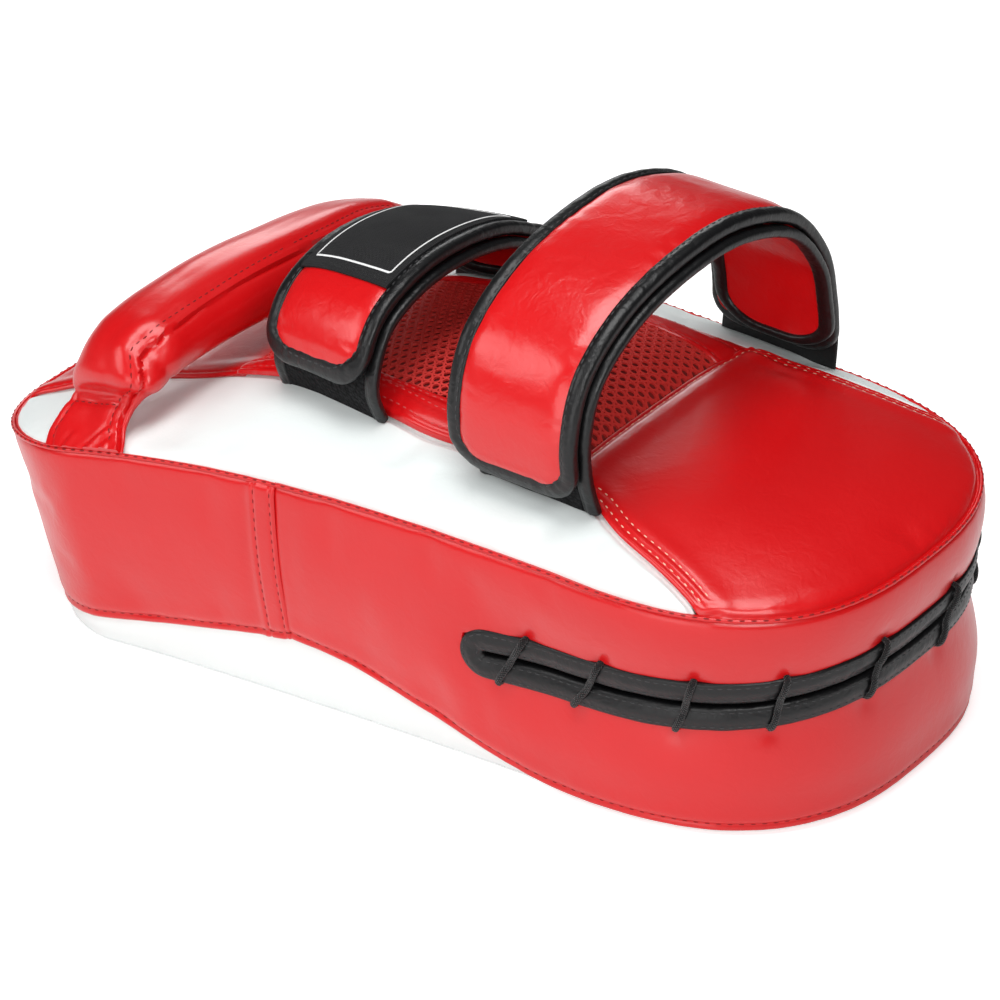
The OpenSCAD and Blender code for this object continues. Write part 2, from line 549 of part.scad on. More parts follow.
// Black root of a strap, outside its end and let down to the back
module anchor(S) {
    s0 = 0.84;
    drop = function (x, o) let (p = strap_at(S, 1, x, o)) p[2] - back_z(p[0], p[1]) - 0.5;
    grid = function (o) [for (i = [0:6]) let (s = mix(s0, 1, i / 6)) [for (u = [-1, -0.5, 0.5, 1])
        let (x = S[1] + u * (S[2] - 2)) strap_at(S, s, x, o) - [0, 0, drop(x, o) * pow(i / 6, 2)]]];
    color(black) sheet(grid(7.9 + strap_t), grid(5.9 + strap_t));
}
module flap(S, s0) {
    L = arch_len(S[0]);
    color(red) strap_layer(S, s0 + (bind_w + 0.3) / L, hinge_s - hinge_gap, 12, flap_o, bind_w + 0.3,
        tip_r - bind_w / 2);
}
module flap_binding(S, s0) {
    color(black) strap_trim(S, tip_path(S, s0, hinge_s - hinge_gap, bind_w / 2, tip_r, 12),
        [4.3, 5.5 + strap_t], bind_w);
}
module hook(S, s0) { color(black) strap_layer(S, s0 + 0.07, 0.4, 10, [3.4, 4.2], bind_w + 6); }

wrist_tip = 0.11;
fore_tip = 0.05;
module wrist_tab() { tab(wrist_s, 3); }
module wrist_tab_binding() { tab_trim(wrist_s, 3); }
module wrist_strap() { strap(wrist_s); }
module wrist_strap_binding() { strap_binding(wrist_s); }
module wrist_anchor() { anchor(wrist_s); }
module wrist_flap() { flap(wrist_s, wrist_tip); }
module wrist_flap_binding() { flap_binding(wrist_s, wrist_tip); }
module wrist_hook() { hook(wrist_s, wrist_tip); }
module wrist_label() {
    color("#101012") strap_layer(wrist_s, 0.335, hinge_s - 2 * hinge_gap, 7,
        [flap_o[1] + 0.15, flap_o[1] + 1], bind_w + 1);
}
module forearm_tab() { tab(fore_s, 7); }
module forearm_tab_binding() { tab_trim(fore_s, 7); }
module forearm_strap() { strap(fore_s); }
module forearm_strap_binding() { strap_binding(fore_s); }
module forearm_anchor() { anchor(fore_s); }
module forearm_flap() { flap(fore_s, fore_tip); }
module forearm_flap_binding() { flap_binding(fore_s, fore_tip); }
module forearm_hook() { hook(fore_s, fore_tip); }

front_panel();
wall_elbow();
wall_hand();
back_near();
back_far();
back_elbow();
back_hand();
forearm_mesh();
forearm_band_near();
forearm_band_far();
forearm_foam();
foam_back();
foam_core();
foam_strike();
lace_facing();
lace_lining();
lace_cord();
handle_cover();
handle_core();
handle_foot_near();
handle_foot_far();
wrist_tab();
wrist_tab_binding();
wrist_strap();
wrist_strap_binding();
wrist_anchor();
wrist_flap();
wrist_flap_binding();
wrist_hook();
wrist_label();
forearm_tab();
forearm_tab_binding();
forearm_strap();
forearm_strap_binding();
forearm_anchor();
forearm_flap();
forearm_flap_binding();
forearm_hook();
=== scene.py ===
"""A curved kick pad in red, white and black leather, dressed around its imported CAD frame."""

import logging
import math
from collections.abc import Callable, Sequence
from dataclasses import dataclass, field
from enum import Enum

import bpy
import numpy as np
from mathutils import Matrix, Vector, noise
from mathutils.bvhtree import BVHTree


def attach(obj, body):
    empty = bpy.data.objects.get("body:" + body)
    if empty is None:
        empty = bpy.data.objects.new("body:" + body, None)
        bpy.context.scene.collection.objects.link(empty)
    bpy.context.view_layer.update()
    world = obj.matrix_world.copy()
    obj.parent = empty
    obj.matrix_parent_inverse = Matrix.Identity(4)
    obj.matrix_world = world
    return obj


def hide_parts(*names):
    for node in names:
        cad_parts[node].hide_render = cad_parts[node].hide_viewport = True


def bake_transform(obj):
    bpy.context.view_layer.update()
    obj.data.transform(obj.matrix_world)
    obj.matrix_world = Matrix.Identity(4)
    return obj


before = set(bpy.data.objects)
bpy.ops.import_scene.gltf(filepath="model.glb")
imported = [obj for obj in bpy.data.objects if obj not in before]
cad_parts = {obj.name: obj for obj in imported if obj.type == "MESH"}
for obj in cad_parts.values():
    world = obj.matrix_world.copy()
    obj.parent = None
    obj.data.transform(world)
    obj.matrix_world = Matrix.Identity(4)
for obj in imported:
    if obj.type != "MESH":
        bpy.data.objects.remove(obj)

Array = np.ndarray
Piece = bpy.types.Object
Node = bpy.types.Node
Socket = bpy.types.NodeSocket

LOG = logging.getLogger("kick_pad")
MM = 0.001
UP = np.array([0, 0, 1.0])
TINY = 1e-12
# Points closer than this, in metres, become one
SAME = 2e-6


class Slot(str, Enum):
    """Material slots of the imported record."""

    RED = "red_leather"
    WHITE = "white_leather"
    BLACK = "black_leather"
    LOOP = "loop_fabric"
    MESH = "mesh_fabric"
    LACE = "lace"
    LABEL = "label"


class Body(str, Enum):
    """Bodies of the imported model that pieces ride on."""

    PAD = "pad"
    HANDLE = "handle"
    WRIST_FLAP = "wrist_flap"
    FOREARM_FLAP = "forearm_flap"


class Edge(Enum):
    """How a panel of the back ends at one of its borders."""

    SEAM = "turned into the top seam"
    LAP = "folded and sewn over its neighbour"
    UNDER = "tucked under its neighbour"


# Curves and fields in numbers


def ease(a: float, b: float, x: Array | float) -> Array:
    """Smooth step from 0 where x is a to 1 where it is b."""
    s = np.clip((np.asarray(x, float) - a) / (b - a), 0, 1)
    return s * s * (3 - 2 * s)


def hump(x: Array, reach: float) -> Array:
    """A bell of height 1 at x = 0 that dies out over reach."""
    return np.exp(-np.square(np.asarray(x, float) / reach))


def bells(x: Array, *rows: tuple[float, float, float]) -> Array:
    """A sum of ridges and grooves over x, given by height, place and reach."""
    return sum(high * hump(x - at, reach) for high, at, reach in rows)


def power(x: Array, p: float | Array) -> Array:
    """The size of x to the power p, with its sign kept."""
    return np.sign(x) * abs(x) ** p


def unit(v: Array) -> Array:
    """Vectors brought to length 1."""
    return v / np.maximum(np.linalg.norm(v, axis=-1, keepdims=True), TINY)


def left_of(t: Array) -> Array:
    """Directions in the plan, turned a quarter to the left."""
    return np.stack([-t[..., 1], t[..., 0]], -1)


def raised(xy: Array, z: Array | float) -> Array:
    """Places of the plan brought to a height."""
    return np.concatenate([xy, np.broadcast_to(z, xy.shape[:-1])[..., None]], -1)


def angles(step: float) -> Array:
    """Angles all round in radians, a step in degrees apart."""
    return np.radians(np.arange(0, 360, step))


def quarter(count: int) -> Array:
    """Angles over a quarter turn in radians."""
    return np.radians(np.linspace(0, 90, count))


def ripple(s: Array, pitch: float, seed: float) -> Array:
    """Uneven waves along a seam.

    Args:
        s: Way along the seam in mm.
        pitch: Mean length of a wave in mm.
        seed: Shifts the pattern.

    Returns:
        Heights from -1 to 1.
    """
    turn = 2 * np.pi * s
    drift = 0.4 * np.sin(turn / (3.7 * pitch) + seed) + 0.25 * np.sin(turn / (8.3 * pitch) + 2 * seed)
    size = 0.65 + 0.35 * np.sin(turn / (5.9 * pitch) + 3 * seed)
    return size * np.sin(2 * np.pi * (s / pitch + drift))


def cloud(points: Array, size: float, seed: float) -> Array:
    """Soft noise in space, from about -1 to 1, with lumps of a size in mm."""
    flat = np.asarray(points, float).reshape(-1, 3) / size + seed
    return np.array([noise.noise(Vector(p)) for p in flat]).reshape(points.shape[:-1])


def grid_normals(points: Array, out: Array, wrap: bool = False) -> Array:
    """Unit normals of a table of points.

    Args:
        points: Rows of points.
        out: A direction, or one for each point, that the normals look along.
        wrap: The last column repeats the first.

    Returns:
        One normal for each point.
    """
    across = np.gradient(points, axis=1)
    if wrap:
        across = np.roll(points[:, :-1], -1, 1) - np.roll(points[:, :-1], 1, 1)
        across = np.concatenate([across, across[:, :1]], 1)
    n = unit(np.cross(across, np.gradient(points, axis=0)))
    return n if (n * out).sum() > 0 else -n


def spline(p: Array, t: Array) -> Array:
    """Smooth curve through points.

    Args:
        p: Points that the curve passes, in order.
        t: Places on it from 0 to 1.

    Returns:
        A point for each place.
    """
    n = len(p) - 1
    x = np.clip(np.asarray(t, float), 0, 1) * n
    i = np.minimum(n - 1, np.floor(x).astype(int))
    f = (x - i)[..., None]
    a, b, c, d = p[np.maximum(0, i - 1)], p[i], p[i + 1], p[np.minimum(n, i + 2)]
    return 0.5 * (2 * b + (c - a) * f + (2 * a - 5 * b + 4 * c - d) * f**2 + (3 * b - a - 3 * c + d) * f**3)


@dataclass
class Line:
    """A line of points with its length measured along it."""

    points: Array
    way: Array = field(init=False)

    def __post_init__(self) -> None:
        """Measure the way along the line."""
        steps = np.linalg.norm(np.diff(self.points, axis=0), axis=1)
        self.way = np.concatenate([[0], np.cumsum(steps)])

    @property
    def length(self) -> float:
        """Whole length of the line."""
        return float(self.way[-1])

    def at(self, s: Array | float) -> Array:
        """Points at ways s along the line."""
        return np.stack([np.interp(s, self.way, column) for column in self.points.T], axis=-1)

    def along(self, s: Array, step: float = 0.6) -> Array:
        """Unit direction of the line at ways s, measured over two steps."""
        return unit(self.at(np.minimum(s + step, self.length)) - self.at(np.maximum(s - step, 0)))

    def spaced(self, step: float) -> "Line":
        """The same line with points about step apart."""
        n = max(2, round(self.length / step) + 1)
        return Line(self.at(np.linspace(0, self.length, n)))

    def apart(self, xy: Array) -> Array:
        """Distance of places to the line, seen from above.

        Args:
            xy: Places in the plan, in the last axis.

        Returns:
            One distance for each place.
        """
        a, b = self.points[None, :-1, :2], self.points[None, 1:, :2]
        ab = b - a
        size = np.maximum((ab**2).sum(-1), TINY)
        best = []
        for part in batches(xy):
            t = np.clip(((part - a) * ab).sum(-1) / size, 0, 1)
            best.append(np.linalg.norm(part - a - t[..., None] * ab, axis=-1).min(1))
        return np.concatenate(best).reshape(xy.shape[:-1])

    def way_of(self, xy: Array) -> Array:
        """Way along the line of its point nearest to each place.

        Args:
            xy: Places in the plan, in the last axis.

        Returns:
            One way for each place, to the nearest 2 mm.
        """
        near = self.spaced(2.0)
        best = [np.linalg.norm(part - near.points[None, :, :2], axis=-1).argmin(1) for part in batches(xy)]
        return near.way[np.concatenate(best)].reshape(xy.shape[:-1])


def batches(xy: Array) -> list[Array]:
    """Places in a row, split into parts of a size that memory takes."""
    flat = xy.reshape(-1, 1, 2)
    return np.array_split(flat, max(1, len(flat) // 2000))


# The pad's own shape, in millimetres, as its CAD source has it


@dataclass(frozen=True)
class PadShape:
    """Sizes and surfaces of the pad's body, for places x along it and y across it."""

    length: float = 380
    hand_w: float = 213
    waist_w: float = 189
    elbow_w: float = 185
    hand_corner: float = 59
    elbow_round: float = 102
    square: float = 2.6
    seam: tuple[float, ...] = (72, 97, 99, 93)
    crown_h: float = 16
    cushion_h: float = 12
    swell: float = 3
    arch_h: float = 25
    arch_x: float = -34
    flat_x: float = 88
    hand_lean: float = 22
    draft: float = 0.055
    rim: float = 2.8
    waist_x: float = 30
    cushion_x: tuple[float, float, float] = (-97, 20, 65)
    slot_x: float = 45
    slot_z: float = 53
    slot_rise: float = 5
    lace_pull: float = 6
    near: tuple[tuple[float, float], ...] = (
        (-190, 66), (-130, 45), (-97, 42), (-50, 48), (-10, 54.5), (5, 57.4), (15, 57.6), (25, 57.2), (65, 57),
        (80, 58.5), (87, 61), (95, 66.3), (107, 71), (118, 73.8), (130, 77.3), (140, 80.3), (147, 83.2), (160, 88.5))
    far: tuple[tuple[float, float], ...] = (
        (-190, 66), (-130, 45), (-97, 42), (-50, 48), (-10, 54.5), (15, 59), (40, 64), (65, 69), (85, 73),
        (100, 74.5), (110, 75.5), (122, 77.5), (130, 79.3), (138, 81.2), (147, 83.2), (160, 88.5))
    soften: tuple[tuple[float, float], ...] = ((-6, 0.15), (-3, 0.2), (0, 0.3), (3, 0.2), (6, 0.15))
    knit: tuple[tuple[float, float], ...] = ((-97, 32.8), (-50, 37.4), (0, 43), (65, 46))

    @property
    def hl(self) -> float:
        """Half the length."""
        return self.length / 2

    @property
    def xs0(self) -> float:
        """Where the corners of the hand end start."""
        return -self.hl + self.hand_corner

    @property
    def xs1(self) -> float:
        """Where the elbow end starts to round."""
        return self.hl - self.elbow_round

    def round_t(self, x: Array) -> Array:
        """Part of the elbow end's rounding that is passed at x."""
        return np.clip((x - self.xs1) / self.elbow_round, 0, 1)

    def seam_z(self, x: Array) -> Array:
        """Height of the top seam: a cubic through four heights.

        Args:
            x: Places along the pad.

        Returns:
            Heights in mm.
        """
        u = 3 * (x + self.hl) / self.length
        a, b, c, d = self.seam
        return (a * (u - 1) * (u - 2) * (u - 3) / -6 + b * u * (u - 2) * (u - 3) / 2
                - c * u * (u - 1) * (u - 3) / 2 + d * u * (u - 1) * (u - 2) / 6)

    def arch_z(self, x: Array) -> Array:
        """Height of the arch of the wall's lower seam.

        Args:
            x: Places along the pad.

        Returns:
            Heights in mm.
        """
        foot = -self.hl + self.hand_lean
        rise = self.arch_h * np.clip((x - foot) / (self.arch_x - foot), 0, 1)
        return np.where(x < self.arch_x, rise, self.arch_h * (1 - ease(self.arch_x, self.flat_x, x)))

    def side_w(self, x: Array) -> Array:
        """Half width of the long sides: a parabola through three widths.

        Args:
            x: Places along the pad.

        Returns:
            Widths in mm.
        """
        a, w, b = self.xs0, self.waist_x, self.xs1
        return (self.hand_w / 2 * (x - w) * (x - b) / ((a - w) * (a - b))
                + self.waist_w / 2 * (x - a) * (x - b) / ((w - a) * (w - b))
                + self.elbow_w / 2 * (x - a) * (x - w) / ((b - a) * (b - w)))

    def plan_w(self, x: Array) -> Array:
        """Half width of the whole plan.

        Args:
            x: Places along the pad.

        Returns:
            Widths in mm.
        """
        x = np.asarray(x, float)
        r = self.hand_corner
        hand = self.hand_w / 2 - r + np.sqrt(np.maximum(0, r**2 - np.maximum(0, self.xs0 - x) ** 2))
        elbow = self.elbow_w / 2 * (1 - self.round_t(x)**self.square) ** (1 / self.square)
        return np.where(x < self.xs0, hand, np.where(x <= self.xs1, self.side_w(x), elbow))

    def foot_at(self, x: Array) -> Array:
        """Place along the pad of the foot under a point of the plan."""
        return x + self.hand_lean * np.clip((-100 - x) / (self.hl - 100), 0, 1) - 4 * self.round_t(x)

    def foot(self, p: Array) -> Array:
        """Foot of the wall, in the plan, under points p of the top seam."""
        return np.stack([self.foot_at(p[..., 0]), p[..., 1] * (1 - self.draft)], -1)

    def rim_at(self, x: Array) -> Array:
        """Height of the wall's hem over the striking face, which it hides at the elbow end."""
        return self.rim - (self.rim - 0.5) * ease(30, 100, x)

    def wall_h(self, x: Array) -> Array:
        """Height of the wall from its hem to the top seam."""
        return self.seam_z(x) - self.arch_z(self.foot_at(x)) - self.rim_at(x)

    def wall_at(self, p: Array, n: Array, v: Array, o: Array | float = 0) -> Array:
        """Points of the side wall.

        Args:
            p: Points of the plan.
            n: Outward directions there, in the plan.
            v: Part of the height, from foot to seam.
            o: How far to stand off the wall.

        Returns:
            Points in mm.
        """
        x, foot = p[..., 0], self.foot(p)
        zb = self.arch_z(foot[..., 0]) + self.rim_at(x)
        off = (o + self.swell * 4 * v * (1 - v) * (0.1 + 0.9 * ease(-185, -90, x))
               - self.lace_pull * ease(self.slot_x - 15, self.slot_x + 40, x) * (1 - ease(0, 0.36, abs(v - 0.56))))
        return raised(foot + (p - foot) * v[..., None] + n * off[..., None], zb + (self.seam_z(x) - zb) * v)

    def wall_v(self, x: Array, z: Array) -> Array:
        """Part of the wall's height at which it passes height z."""
        zb = self.arch_z(x) + self.rim_at(x)
        return (z - zb) / (self.seam_z(x) - zb)

    def edge_r(self, x: Array, y: Array) -> Array:
        """How near a place of the back is to the seam.

        Args:
            x: Places along the pad.
            y: Places across it.

        Returns:
            Parts of the way from the middle, 1 on the seam.
        """
        y = abs(y)
        t = np.maximum(0, (x - self.xs1) / self.elbow_round)
        elbow = (t**self.square + (y / (self.elbow_w / 2)) ** self.square) ** (1 / self.square)
        hand = ((y / (self.hand_w / 2)) ** 4 + (np.maximum(0, -120 - x) / (self.hl - 120)) ** 4) ** 0.25
        return np.where(x > self.xs1, elbow, np.where(x < -120, hand, y / self.side_w(x)))

    def back_z(self, x: Array, y: Array) -> Array:
        """Height of the back over the plan."""
        crown = 3 + (self.crown_h - 3) * ease(-130, -45, x)
        return self.seam_z(x) + crown * (1 - np.minimum(1, self.edge_r(x, y)) ** 3.2)

    def middle_w(self, x: Array, side: Array | float) -> Array:
        """Half width of the red middle of the back.

        Args:
            x: Places along the pad.
            side: Below 0 for the near side, otherwise the far side.

        Returns:
            Widths in mm, with the corners of the tables eased.
        """
        x = np.asarray(x, float)
        near, far = (sum(w * np.interp(x + d, *np.array(table).T) for d, w in self.soften)
                     for table in (self.near, self.far))
        return np.where(np.asarray(side) < 0, near, far)

    def mesh_w(self, x: Array) -> Array:
        """Half width of the mesh of the forearm cushion."""
        return np.interp(x, *np.array(self.knit).T)

    def cushion_z(self, x: Array, y: Array) -> Array:
        """Height of the forearm cushion, held level past its two ends.

        Args:
            x: Places along the pad.
            y: Places across it.

        Returns:
            Heights in mm.
        """
        x0, xc, x1 = self.cushion_x
        x = np.clip(x, x0, x1)
        s = np.where(x > xc, (x - xc) / (x1 - xc), (xc - x) / (xc - x0))
        q = np.minimum(1, abs(y) / self.middle_w(x, y))
        return self.back_z(x, y) + self.cushion_h * np.maximum(0, 1 - s * s) ** 0.6 * (1 - q**2.4) ** 0.6

    def outline(self) -> Line:
        """The top seam in the plan.

        Returns:
            A closed line from the middle of the hand end round by the near side.
        """
        r, hl, hw = self.hand_corner, self.hl, self.hand_w / 2
        y = np.linspace(0, -(hw - r), 40)
        end = np.stack([np.full_like(y, -hl), y], 1)
        a = quarter(90)[1:]
        corner = np.stack([-hl + r * (1 - np.cos(a)), -hw + r * (1 - np.sin(a))], 1)
        x = np.linspace(self.xs0, self.xs1, 300)[1:]
        side = np.stack([x, -self.side_w(x)], 1)
        a = quarter(400)[1:]
        k = 2 / self.square
        elbow = np.stack([self.xs1 + self.elbow_round * np.sin(a) ** k,
                          -self.elbow_w / 2 * np.maximum(0, np.cos(a)) ** k], 1)
        half = np.concatenate([end, corner, side, elbow])
        return Line(np.concatenate([half, (half * [1, -1])[-2::-1]]))


SHAPE = PadShape()
OUTLINE = SHAPE.outline()


def plan_at(s: Array) -> tuple[Array, Array]:
    """Points of the outline and their outward directions.

    Args:
        s: Ways along the outline, which may run past its end.

    Returns:
        The points and the directions, both in the plan.
    """
    s = np.mod(s, OUTLINE.length)
    return OUTLINE.at(s), -left_of(OUTLINE.along(s, 1.5))


def way_at(x: Array | float) -> Array:
    """Ways along the near half of the outline at which it passes x, past the hand end's corner."""
    part = (OUTLINE.way <= OUTLINE.length / 2) & (OUTLINE.points[:, 0] > -100)
    return np.interp(x, OUTLINE.points[part, 0], OUTLINE.way[part])


# Making meshes


def deselect() -> None:
    """Leave edit mode and select nothing."""
    if bpy.context.object and bpy.context.object.mode != "OBJECT":
        bpy.ops.object.mode_set(mode="OBJECT")
    bpy.ops.object.select_all(action="DESELECT")


def activate(piece: Piece) -> None:
    """Make one piece the only selected and the active one.

    Args:
        piece: The piece.
    """
    deselect()
    piece.select_set(True)
    bpy.context.view_layer.objects.active = piece


def apply_modifiers(piece: Piece) -> Piece:
    """Apply all modifiers of a piece in order.

    Args:
        piece: The piece.

    Returns:
        The same piece.
    """
    activate(piece)
    for name in [m.name for m in piece.modifiers]:
        bpy.ops.object.modifier_apply(modifier=name)
    return piece


def edit(piece: Piece, *steps: Callable[[], object]) -> None:
    """Run edit mode operators on the whole mesh of a piece.

    Args:
        piece: The piece.
        steps: The operators, in order.
    """
    activate(piece)
    bpy.ops.object.mode_set(mode="EDIT")
    bpy.ops.mesh.select_mode(type="VERT")
    bpy.ops.mesh.select_all(action="SELECT")
    for step in steps:
        step()
    bpy.ops.object.mode_set(mode="OBJECT")


def select_none() -> None:
    """Select nothing in edit mode."""
    bpy.ops.mesh.select_all(action="DESELECT")


def merge() -> None:
    """Merge the doubles among the selected points."""
    bpy.ops.mesh.remove_doubles(threshold=SAME)


def turn_out() -> None:
    """Turn all faces of a closed mesh outward."""
    bpy.ops.mesh.select_all(action="SELECT")
    bpy.ops.mesh.normals_make_consistent(inside=False)


def flip_if(wrong: bool, piece: Piece) -> None:
    """Turn the faces of a piece over if they look the wrong way."""
    if wrong:
        edit(piece, bpy.ops.mesh.flip_normals)


def smooth(piece: Piece, angle: float = 40) -> Piece:
    """Shade a piece smooth.

    Args:
        piece: The piece.
        angle: Edges sharper than this, in degrees, are kept.

    Returns:
        The same piece.
    """
    activate(piece)
    bpy.ops.object.shade_smooth_by_angle(angle=math.radians(angle))
    return piece


def from_faces(name: str, points: Array, faces: list[list[int]]) -> Piece:
    """A piece of copied cells.

    Args:
        name: Name of the piece.
        points: Its points in metres.
        faces: Its faces.

    Returns:
        The new piece.
    """
    mesh = bpy.data.meshes.new(name)
    mesh.from_pydata(points.tolist(), [], faces)
    piece = bpy.data.objects.new(name, mesh)
    bpy.context.scene.collection.objects.link(piece)
    return piece


def grid_piece(name: str, points: Array, out: Array | None = None, uv: Array | None = None) -> Piece:
    """Add a grid and shape it to a table of points.

    Args:
        name: Name of the piece.
        points: Rows of points in mm.
        out: Direction that the faces look along, or None to leave them.
        uv: A place in the pattern for each point, in mm.

    Returns:
        The new piece.
    """
    nv, nu = points.shape[:2]
    deselect()
    bpy.ops.mesh.primitive_grid_add(x_subdivisions=nu - 1, y_subdivisions=nv - 1, size=2)
    piece = bpy.context.active_object
    mesh = piece.data
    piece.name = mesh.name = name
    mesh.vertices.foreach_set("co", (points * MM).astype(np.float32).ravel())
    if uv is not None:
        index = np.zeros(len(mesh.loops), np.int32)
        mesh.loops.foreach_get("vertex_index", index)
        mesh.uv_layers[0].data.foreach_set("uv", (uv.reshape(-1, 2)[index] * MM).astype(np.float32).ravel())
    mesh.update()
    if out is not None:
        n = np.zeros(len(mesh.polygons) * 3, np.float32)
        mesh.polygons.foreach_get("normal", n)
        flip_if((n.reshape(-1, 3) @ np.asarray(out, float)).sum() < 0, piece)
    return piece


def refine(piece: Piece) -> Piece:
    """Subdivide a piece once.

    Args:
        piece: The piece.

    Returns:
        The same piece.
    """
    fine = piece.modifiers.new("fine", "SUBSURF")
    fine.levels = fine.render_levels = 1
    return apply_modifiers(piece)


def thicken(piece: Piece, mm: float, finer: bool = False, offset: float = -1) -> Piece:
    """Give a sheet its thickness and, if asked, a finer mesh.

    Args:
        piece: The sheet.
        mm: Thickness.
        finer: Also subdivide it.
        offset: -1 to keep the outer face where the sheet is, 0 to grow both ways.

    Returns:
        The piece.
    """
    solid = piece.modifiers.new("thickness", "SOLIDIFY")
    solid.thickness, solid.offset = mm * MM, offset
    return smooth(refine(piece) if finer else apply_modifiers(piece))


def sweep(name: str, rings: Array, closed: bool, uv: Array | None = None) -> Piece:
    """A tube through rings of points.

    Args:
        name: Name of the piece.
        rings: Rings of points in mm, each ring without its first point repeated.
        closed: The last ring joins the first; otherwise the ends are closed by faces.
        uv: Pattern places for rings with their first point repeated.

    Returns:
        The new piece.
    """
    table = np.concatenate([rings, rings[:, :1]], axis=1)
    if closed:
        table = np.concatenate([table, table[:1]], axis=0)
    piece = grid_piece(name, table, uv=uv)
    lids = (select_none, bpy.ops.mesh.select_non_manifold, lambda: bpy.ops.mesh.fill_holes(sides=0))
    edit(piece, merge, *(() if closed else lids), turn_out)
    return smooth(piece, 50)


# Settings of the cloth that the padding blows up, and how it is run
CLOTH = {"quality": 6, "mass": 0.2, "tension_stiffness": 25, "compression_stiffness": 25, "shear_stiffness": 8,
         "bending_stiffness": 6.0, "shrink_min": -0.0025, "vertex_group_mass": "held", "use_pressure": True,
         "uniform_pressure_force": 4.0}
CLOTH_CELL = 5.5
CLOTH_FRAMES = 20


def picked(points: Array) -> tuple[list[int], Array]:
    """Rows of a grid about a cell of the cloth apart, with the first and the last.

    Args:
        points: Grid of points in mm.

    Returns:
        The picked rows, and the place of every row among them.
    """
    way = np.cumsum(np.concatenate([[0], np.linalg.norm(np.diff(points, axis=0), axis=-1).mean(1)]))
    rows = [0]
    for k in range(1, len(way) - 1):
        if way[k] - way[rows[-1]] >= CLOTH_CELL and way[-1] - way[k] >= 0.6 * CLOTH_CELL:
            rows.append(k)
    rows.append(len(way) - 1)
    return rows, np.interp(way, way[rows], np.linspace(0, 1, len(rows)))


def swell(base: Array, held: Array, out: Array, cap: float) -> Array:
    """Blow up a sheet of leather as cloth that its seams hold, and let it settle.

    Args:
        base: Grid of points in mm.
        held: Which points the seams hold.
        out: Direction away from the padding at each point.
        cap: Most that a point moves in mm.

    Returns:
        The settled grid.
    """
    rows, down = picked(base)
    columns, across = picked(base.swapaxes(0, 1))
    pick = np.ix_(rows, columns)
    coarse = base[pick]
    sheet = grid_piece("cloth", coarse)
    faces = np.array([(*f.normal, *f.center) for f in sheet.data.polygons])[::7]
    near = np.linalg.norm(coarse.reshape(-1, 1, 3) * MM - faces[None, :, 3:], axis=-1).argmin(0)
    flip_if((faces[:, :3] * np.broadcast_to(out, base.shape)[pick].reshape(-1, 3)[near]).sum() < 0, sheet)
    group = sheet.vertex_groups.new(name="held")
    group.add(np.flatnonzero(held[pick]).tolist(), 1.0, "REPLACE")
    cloth = sheet.modifiers.new("cloth", "CLOTH")
    cloth.collision_settings.use_collision = False
    for name, value in CLOTH.items():
        setattr(cloth.settings, name, value)
    cloth.settings.effector_weights.gravity = 0
    for moment in range(CLOTH_FRAMES):
        bpy.context.scene.frame_set(moment + 1)
    apply_modifiers(sheet)
    settled = np.array([v.co for v in sheet.data.vertices]).reshape(coarse.shape) / MM
    bpy.context.scene.frame_set(1)
    bpy.data.objects.remove(sheet)
    move = np.nan_to_num(settled - coarse)
    size = np.linalg.norm(move, axis=-1, keepdims=True)
    LOG.info("cloth of %d points moved up to %.1f mm", size.size, size.max())
    move *= cap * np.tanh(size / cap) / np.maximum(size, 1e-9)
    for place in (down, across):
        move = spline(move.reshape(len(move), -1), place).reshape(len(place), -1, 3).swapaxes(0, 1)
    return base + move


def surface_of(*pieces: Piece) -> BVHTree:
    """A search tree over the meshes of some pieces.

    Args:
        pieces: The pieces.

    Returns:
        The tree.
    """
    verts, faces = [], []
    for piece in pieces:
        base = len(verts)
        verts += [v.co.copy() for v in piece.data.vertices]
        faces += [[i + base for i in p.vertices] for p in piece.data.polygons]
    return BVHTree.FromPolygons(verts, faces)


# Finishes


